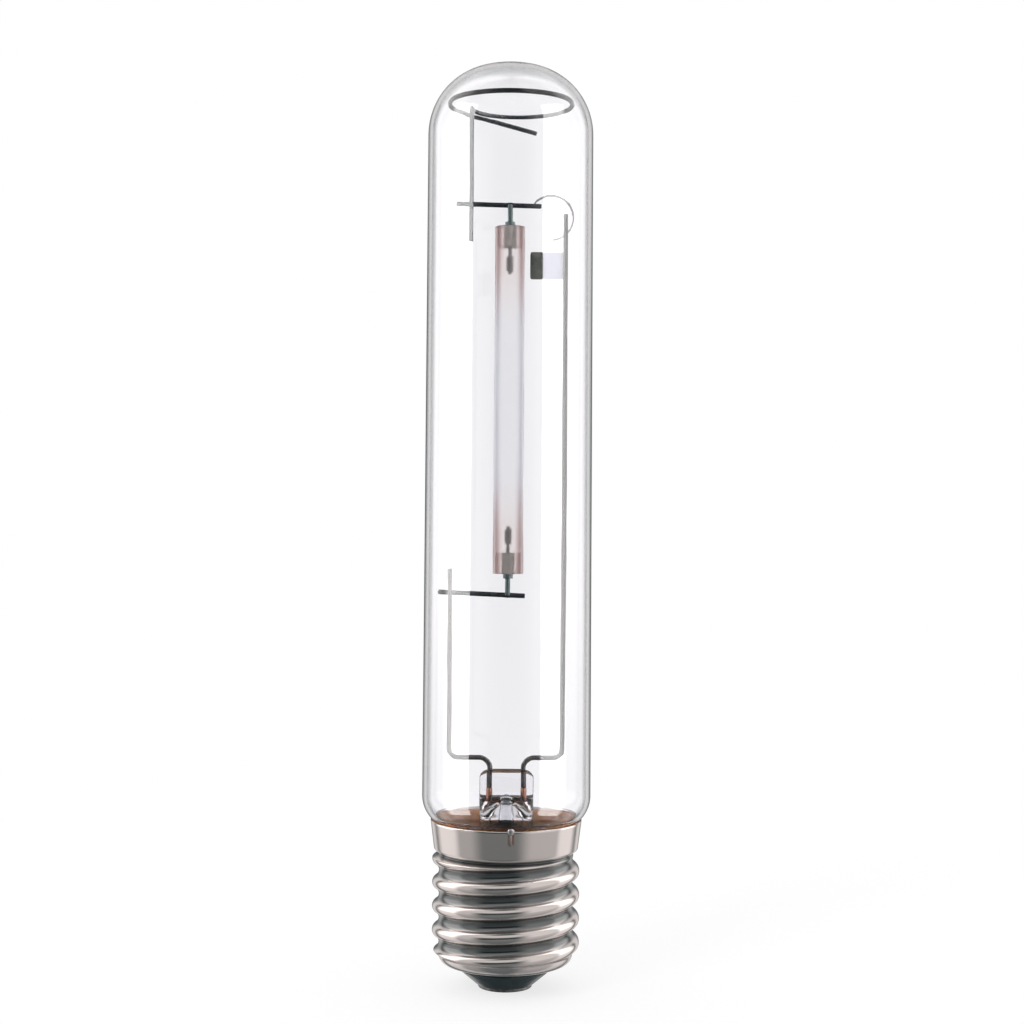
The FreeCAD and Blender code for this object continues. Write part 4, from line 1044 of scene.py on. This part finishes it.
def build_alumina():
    """Milky ceramic: rosy near both ends, where the arc has left its deposit."""
    material, tree, shader = new_finish("Sintered alumina", Roughness=0.5, IOR=1.06,
                                        Transmission_Weight=0.93)
    height = split(tree, object_place(tree))[2]
    middle = (ARC_FOOT + ARC_TOP) / 2 * MM
    reach = math_node(tree, "ABSOLUTE", math_node(tree, "SUBTRACT", height, middle))
    half = (ARC_TOP - ARC_FOOT) / 2 * MM
    near_end = ramp(tree, reach, half * ROSY_FROM, half * ROSY_FULL)
    film = place_group(tree, FILM, Scale=260.0, Cover=0.62)
    warm = mix_colour(tree, times(tree, film["Film"], 0.35),
                      (0.99, 0.96, 0.95), (0.96, 0.9, 0.88))
    tint = mix_colour(tree, near_end, (0.985, 0.985, 0.99), warm)
    tint = mix_colour(tree, ramp(tree, facing(tree), 0.1, 0.5), tint,
                      mix_colour(tree, near_end, (0.85, 0.85, 0.88), (0.7, 0.58, 0.57)))
    feed(tree, shader, Base_Color=tint)
    roughen(tree, shader, film["Grain"], 0.12, 0.00008)
    return material


ALUMINA = build_alumina()
FINISHES = {
    "clear_glass": clear_glass("Drawn clear glass", (0.987, 0.984, 0.998), (0.46, 0.53, 0.55),
                               0.05, 0.76, 0.28),
    "stem_glass": clear_glass("Stem glass", (0.95, 0.95, 0.97), (0.3, 0.32, 0.35),
                              0.12, 0.52, 0.38),
    "alumina": ALUMINA,
    "plug_ceramic": ALUMINA,
}

# %% [markdown]
# ## Metals inside the bulb
#
# Drawn wire shows fine streaks in its tone and its roughness. The strap and the leads are
# bright metal. The tones of the rods, the bars and the spring are darker than clean metal:
# they are a painted dark reflection, chosen to match the photograph, where the dark
# surroundings they mirror play a larger part than the metal does. Plain bright nickel
# everywhere would be simpler, but it would come out paler than the photograph. One function
# makes all of these metals, and the end contact and the solder as well. A table holds what
# differs.

# %% Wires, strips and electrodes
DARK_FRONT, DARK_BACK = -14.0, 4.0


def drawn_metal(name, colour, dark, roughness, across=2500.0, along=120.0):
    """Streaks mix two tones of the metal and swing its roughness by a third.

    Equal scales across and along turn the streaks into round blots, as solder has.
    """
    material, tree, shader = new_finish(name, Metallic=1.0)
    streaks = place_group(tree, STREAKS, Across=across, Along=along)["Streaks"]
    film = place_group(tree, FILM, Scale=150.0, Cover=0.4)
    tone = mix_colour(tree, ramp(tree, streaks, 0.35, 0.65), dark, colour)
    rough = math_node(tree, "MULTIPLY_ADD", streaks, roughness * 0.7, roughness * 0.65)
    feed(tree, shader, Roughness=rough,
         Base_Color=mix_colour(tree, times(tree, film["Film"], 0.4), tone, dark))
    roughen(tree, shader, streaks, 0.1, 0.00003)
    return material


def blacken_front(material):
    """Darken a metal towards -Y.

    It stands for the black that the spring's front most likely mirrors in the photograph.
    """
    tree = material.node_tree
    shader = tree.nodes["Principled BSDF"]
    bright = shader.inputs["Base Color"].links[0].from_socket
    depth = split(tree, object_place(tree))[1]
    front = ramp(tree, depth, DARK_FRONT * MM, DARK_BACK * MM, 0.9, 0.0)
    feed(tree, shader, Base_Color=mix_colour(tree, front, bright, (0.01, 0.012, 0.013)))


# The dark tones of the rods, the bars and the spring are a painted dark reflection.
METALS = {
    "nickel_rod": ("Nickel-plated rod", (0.22, 0.2, 0.195), (0.13, 0.12, 0.12), 0.18),
    "bar_metal": ("Drawn steel bar", (0.12, 0.125, 0.13), (0.07, 0.08, 0.085), 0.2),
    "spring_wire": ("Spring wire", (0.24, 0.245, 0.25), (0.13, 0.14, 0.145), 0.08),
    "strap_metal": ("Nickel strip", (0.72, 0.7, 0.69), (0.6, 0.58, 0.57), 0.2),
    "lead_wire": ("Lead wire", (0.55, 0.5, 0.46), (0.38, 0.33, 0.3), 0.25),
    "seal_copper": ("Copper-clad pin", (0.85, 0.46, 0.32), (0.6, 0.28, 0.2), 0.2),
    "niobium": ("Niobium", (0.3, 0.36, 0.355), (0.19, 0.245, 0.24), 0.3),
    "tungsten": ("Tungsten", (0.3, 0.29, 0.29), (0.2, 0.19, 0.19), 0.35),
    "contact_metal": ("Contact plate", (0.3, 0.29, 0.27), (0.14, 0.14, 0.14), 0.4, 600.0, 600.0),
    "solder": ("Tin solder", (0.7, 0.7, 0.72), (0.5, 0.5, 0.52), 0.3, 500.0, 500.0),
}
for slot, row in METALS.items():
    FINISHES[slot] = drawn_metal(*row)
blacken_front(FINISHES["spring_wire"])

# %% [markdown]
# ## Ceramics, coatings and cement
#
# These are dull, so their colour carries them: a broad noise for blotches, a fine one for
# grains, and the same fine noise as a height.

# %% Dull finishes
def dull_finish(name, light, dark, roughness, scale, bump, specular=0.5):
    """Blotches mix two colours, and grains lift the roughness and the surface."""
    material, tree, shader = new_finish(name, Specular_IOR_Level=specular)
    film = place_group(tree, FILM, Scale=scale, Cover=0.55)
    feed(tree, shader, Base_Color=mix_colour(tree, film["Film"], light, dark),
         Roughness=math_node(tree, "MULTIPLY_ADD", film["Grain"], 0.25, roughness - 0.12))
    roughen(tree, shader, film["Grain"], bump, 0.0001)
    return material


DULL = {
    "seal_frit": ("Sealing glass", (0.36, 0.4, 0.37), (0.2, 0.23, 0.21), 0.3, 400.0, 0.1),
    "getter_coating": ("Getter coating", (0.09, 0.1, 0.08), (0.001, 0.003, 0.004),
                       0.6, 260.0, 0.4, 0.1),
    # The carrier is bright metal, shown as a dull pale bluish white: a painted reflection of the
    # white surroundings.
    "getter_metal": ("Getter carrier", (0.66, 0.66, 0.76), (0.5, 0.5, 0.6), 0.3, 200.0, 0.05),
    "cement": ("Basing cement", (1.0, 0.46, 0.15), (0.86, 0.25, 0.045), 0.75, 320.0, 0.8),
}
for slot, row in DULL.items():
    FINISHES[slot] = dull_finish(*row)

# %% [markdown]
# ## The cap's plating
#
# The nickel is thin over brass, so it is a warm silver. The crests are painted lighter, as a
# highlight, and the roots a dark grey, as shade. The distance from the axis, read from Object
# coordinates, tells crest from root. The insulator below is nearly black glass, and what
# shows of it are its highlights.

# %% Plated cap
FLUX_FOOT, FLUX_TOP = 40.4, 41.8


def build_plating():
    """Painted highlight on the crests, painted shade in the roots, and a brown flux stain
    round the side solder.
    """
    material, tree, shader = new_finish("Plated cap", Metallic=1.0)
    parts = split(tree, object_place(tree))
    across = math_node(tree, "SQRT", math_node(tree, "ADD", math_node(
        tree, "POWER", parts[0], 2.0), math_node(tree, "POWER", parts[1], 2.0)))
    crest = ramp(tree, across, (THREAD_ROOT + 0.4) * MM, (THREAD_CREST - 0.1) * MM)
    film = place_group(tree, FILM, Scale=70.0, Cover=0.5)
    base = mix_colour(tree, film["Film"], (0.82, 0.77, 0.75), (0.7, 0.64, 0.62))
    # Crests painted lighter than the film, as a highlight.
    base = mix_colour(tree, crest, base, (0.84, 0.77, 0.74))
    # Roots painted dark grey as shade, except close to the thread's foot.
    root = ramp(tree, across, (THREAD_ROOT + 0.1) * MM, (THREAD_ROOT + 1.1) * MM, 1.0, 0.0)
    clear_of_foot = ramp(tree, parts[2], THREAD_FOOT * MM, (THREAD_FOOT + 1.5) * MM)
    base = mix_colour(tree, times(tree, root, clear_of_foot), base, (0.2, 0.21, 0.21))
    beside = math_node(tree, "ABSOLUTE", math_node(tree, "SUBTRACT", parts[0], SIDE_OFFSET * MM))
    under = times(tree, ramp(tree, beside, 0.3 * MM, 1.1 * MM, 1.0, 0.0),
                  ramp(tree, parts[2], FLUX_FOOT * MM, FLUX_TOP * MM))
    front = math_node(tree, "LESS_THAN", parts[1], 0.0)
    flux = times(tree, times(tree, under, front), 0.85)
    dull = math_node(tree, "MULTIPLY_ADD", film["Film"], 0.12, 0.12)
    feed(tree, shader, Base_Color=mix_colour(tree, flux, base, (0.3, 0.13, 0.08)),
         Roughness=math_node(tree, "SUBTRACT", dull, times(tree, crest, 0.04)))
    roughen(tree, shader, film["Grain"], 0.04, 0.00005)
    return material


def build_insulator_glass():
    """Nearly black glass with a teal cast and a soft moulded skin."""
    material, tree, shader = new_finish("Insulator glass", IOR=1.52)
    film = place_group(tree, FILM, Scale=130.0, Cover=0.5)
    tone = mix_colour(tree, film["Film"], (0.012, 0.026, 0.03), (0.03, 0.055, 0.062))
    feed(tree, shader, Base_Color=tone,
         Roughness=math_node(tree, "MULTIPLY_ADD", film["Film"], 0.15, 0.16))
    roughen(tree, shader, film["Film"], 0.25, 0.0003)
    return material


FINISHES["cap_nickel"] = build_plating()
FINISHES["insulator_glass"] = build_insulator_glass()

# %% [markdown]
# ## One finish for every piece
#
# Each piece named the slot of its finish when it was made, and each finish above is filed
# under such a slot. A learner can swap two slots' rows in the tables and see what a finish
# does to another shape. Nothing is painted by hand.

# %% Give each piece its finish
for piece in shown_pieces():
    piece.data.materials.clear()
    piece.data.materials.append(FINISHES[piece["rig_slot"]])

# %% [markdown]
# ## Floor, surroundings and light
#
# What metal and glass mirror matters more than the lamps. Rays that have met no shiny surface
# see plain white. Mirrored rays see a studio: softboxes on each side, a soft band overhead,
# another one behind the lamp, and darkness between them, which draws the black lines along
# wires, thread and the edges of the glass.

# %% Softboxes by direction
def build_softboxes():
    """Azimuth is the angle from -Y towards +X. A box is a soft step up and a soft step down.

    Each side has a broad dim box and, further round, a narrow bright one.
    """
    tree, start, end = new_group("Softboxes", {}, ["Boxes"], ["Direction"])
    parts = split(tree, start.outputs[0])
    azimuth = math_node(tree, "ARCTAN2", parts[0], times(tree, parts[1], -1.0))
    masks = []
    for side, angles, level in ((1, (14, 44, 120, 140), 0.72), (-1, (34, 62, 120, 140), 0.55),
                                (1, (78, 98, 120, 140), 1.5), (-1, (70, 92, 120, 140), 1.5)):
        first, second, third, fourth = (math.radians(angle) for angle in angles)
        turned = times(tree, azimuth, side)
        masks.append(times(tree, ramp(tree, turned, first, second, 0.0, level),
                           ramp(tree, turned, third, fourth, 1.0, 0.0)))
    brightest = masks[0]
    for mask in masks[1:]:
        brightest = math_node(tree, "MAXIMUM", brightest, mask)
    feed(tree, end, Boxes=brightest)
    return tree


SOFTBOXES = build_softboxes()

# %% [markdown]
# The photograph has a pure white ground. A white floor that was only lit would need far more
# light than the lamp can take, so the floor adds its own white wherever it is seen straight
# or through glass, and keeps a small lit part, which takes the shadow. Mirrored rays pass
# through it and see the surroundings' lower half, which stands for a glossy table.

# %% Floor
FLOOR_RADIUS, FLOOR_GAP, FLOOR_GLOW = 320.0, 0.05, 0.74


def build_floor():
    """A disc just below the contact: its own white on straight rays, nothing on mirrored."""
    mesh = bpy.data.meshes.new("floor")
    rim = round_points(FLOOR_RADIUS * MM, full_turn(96)[0], cad_low.z - FLOOR_GAP * MM)
    mesh.from_pydata(rim.tolist(), [], [list(range(96))])
    floor = bpy.data.objects.new("floor", mesh)
    bpy.context.scene.collection.objects.link(floor)
    material, tree, shader = new_finish("Floor", Base_Color=(0.3, 0.3, 0.31), Roughness=0.9,
                                        Emission_Color=(1.0, 1.0, 1.0))
    path = add_node(tree, "ShaderNodeLightPath").outputs
    straight = math_node(tree, "LESS_THAN", path["Diffuse Depth"], 0.5)
    feed(tree, shader, Emission_Strength=times(tree, straight, FLOOR_GLOW))
    mirrored = math_node(tree, "GREATER_THAN", path["Glossy Depth"], 0.5)
    through = add_node(tree, "ShaderNodeBsdfTransparent").outputs[0]
    both = add_node(tree, "ShaderNodeMixShader", {0: mirrored, 1: shader.outputs[0], 2: through})
    feed(tree, tree.nodes["Material Output"], Surface=both.outputs[0])
    mesh.materials.append(material)


build_floor()

# %% [markdown]
# ## The surroundings
#
# One world serves three kinds of ray. Straight ones find plain white, diffuse ones a softer
# white, and mirrored ones the studio. An image of a real room would be quicker, yet it could
# not be bent to the photograph's reflections.

# %% Surroundings
SHADE, LIT, DIFFUSE_WHITE = (0.035, 0.055, 0.06), (1.0, 0.97, 0.96), (0.72, 0.72, 0.72)


def build_world():
    """The studio's brightness by direction, and which rays see it.

    Rise is the sine of the angle above level. Each part is a soft step of it, or of the way
    towards +Y, and the brightest part counts. The softboxes go on below level as a dimmer
    table. Brightness over 1 goes into the strength, because a colour stops at 1.
    """
    world = bpy.data.worlds.new("Studio")
    bpy.context.scene.world = world
    world.use_nodes = True
    tree = world.node_tree
    shader = tree.nodes["Background"]
    way = add_node(tree, "ShaderNodeTexCoord").outputs["Generated"]
    boxes = add_node(tree, "ShaderNodeGroup", {0: way}, node_tree=SOFTBOXES).outputs[0]
    parts = split(tree, way)
    back, rise = parts[1], parts[2]
    above = times(tree, ramp(tree, rise, 0.26, 0.5), ramp(tree, rise, 0.8, 0.92, 1.0, 0.08))
    above = times(tree, above, math_node(tree, "MAXIMUM", boxes, 0.6))
    behind = times(tree, ramp(tree, back, 0.68, 0.82), ramp(tree, back, 0.88, 0.98, 0.7, 0.1))
    table = ramp(tree, rise, -0.85, -0.2, 0.4, 0.62)
    low = times(tree, math_node(tree, "MULTIPLY_ADD", boxes, 0.8, 0.25), table)
    below = ramp(tree, rise, -0.16, -0.02, 1.0, 0.0)
    level = add_node(tree, "ShaderNodeMix", {0: below, 2: boxes, 3: low}).outputs[0]
    bright = math_node(tree, "MAXIMUM", math_node(tree, "MAXIMUM", level, above), behind)
    studio = mix_colour(tree, bright, SHADE, LIT)
    path = add_node(tree, "ShaderNodeLightPath").outputs
    shiny = math_node(tree, "GREATER_THAN", path["Glossy Depth"], 0.5)
    colour = mix_colour(tree, shiny, (1.0, 1.0, 1.0), studio)
    over = math_node(tree, "MAXIMUM", math_node(tree, "SUBTRACT", bright, 1.0), 0.0)
    feed(tree, shader, Color=mix_colour(tree, path["Is Diffuse Ray"], colour, DIFFUSE_WHITE),
         Strength=math_node(tree, "ADD", times(tree, shiny, over), 1.0))


build_world()

# %% [markdown]
# The clear bulb mirrors only a twentieth of what it faces, yet in the photograph its two
# softboxes wash out the wires behind them. So the glass gets two strong strip lamps of its
# own, through light linking, which leaves the metal and the ceramic at their plain level. A
# falloff across each lamp keeps the bands' edges soft. A small key lamp from the upper left
# adds shape and the floor's shadow, and mirrored rays don't see it.

# %% Lamps
LAMP_DISTANCE = 1.2
STRIP_HEIGHT, STRIP_SIZE, STRIP_WATTS = 0.14, (1.02, 1.9), 62.0
KEY_AZIMUTH, KEY_HEIGHT, KEY_SIZE, KEY_WATTS = -40, 0.95, (0.5, 0.5), 4.0


def build_lamp(name, azimuth, height, size, power):
    """A soft lamp in metres and watts, at an azimuth from -Y towards +X in degrees."""
    data = bpy.data.lights.new(name, "AREA")
    data.shape, data.size, data.size_y, data.energy = "RECTANGLE", *size, power
    lamp = bpy.data.objects.new(name, data)
    bpy.context.scene.collection.objects.link(lamp)
    turn = math.radians(azimuth)
    target = (cad_low + cad_high) / 2
    lamp.location = Vector((LAMP_DISTANCE * math.sin(turn), -LAMP_DISTANCE * math.cos(turn),
                            height))
    lamp.rotation_euler = (target - lamp.location).to_track_quat("-Z", "Y").to_euler()
    lamp.visible_camera = lamp.visible_transmission = False
    return lamp


def soften(lamp, left, right):
    """Fade a lamp towards its two upright sides, over these shares of its width."""
    lamp.data.use_nodes = True
    tree = lamp.data.node_tree
    across = add_node(tree, "ShaderNodeNewGeometry").outputs["Parametric"]
    share = split(tree, across)[0]
    fade = times(tree, ramp(tree, share, 0.0, left), ramp(tree, share, 1 - right, 1.0, 1.0, 0.0))
    feed(tree, tree.nodes["Emission"], Strength=fade)


bulb_only = bpy.data.collections.new("lit_by_strips")
bulb_only.objects.link(outer_bulb)
for name, azimuth, fades in (("strip_right", 67.5, (0.07, 0.34)),
                             ("strip_left", -74, (0.3, 0.07))):
    strip = build_lamp(name, azimuth, STRIP_HEIGHT, STRIP_SIZE, STRIP_WATTS)
    soften(strip, *fades)
    strip.light_linking.receiver_collection = bulb_only
    strip.visible_diffuse = False
key = build_lamp("key", KEY_AZIMUTH, KEY_HEIGHT, KEY_SIZE, KEY_WATTS)
key.visible_glossy = False

# %% [markdown]
# ## The camera
#
# The photograph was taken about half a metre away, level with the middle of the lamp, and its
# top leans a fraction of a degree to the right. A length on the axis is 3.755 pixels per
# millimetre, which gives the lens once the distance is known.

# %% Camera
EYE_DISTANCE, EYE_HEIGHT, EYE_ASIDE, AIM_HEIGHT = 498.0, 129.6, 1.0, 126.4
PIXELS_PER_MM, FRAME_PIXELS, ROLL = 3.755, 1024, math.radians(0.4)


def build_camera():
    data = bpy.data.cameras.new("camera")
    data.sensor_width = 36.0
    data.lens = data.sensor_width * PIXELS_PER_MM * EYE_DISTANCE / FRAME_PIXELS
    data.clip_start = 0.01
    camera = bpy.data.objects.new("camera", data)
    bpy.context.scene.collection.objects.link(camera)
    eye = Vector((EYE_ASIDE, -EYE_DISTANCE, EYE_HEIGHT)) * MM
    aim = Vector((EYE_ASIDE, 0, AIM_HEIGHT)) * MM
    turn = (aim - eye).to_track_quat("-Z", "Y").to_matrix() @ Matrix.Rotation(ROLL, 3, "Z")
    camera.location = eye
    camera.rotation_euler = turn.to_euler()
    bpy.context.scene.camera = camera
    return camera


camera = build_camera()
bpy.context.scene.view_settings.view_transform = "Standard"
print("lens in mm:", round(camera.data.lens, 2))
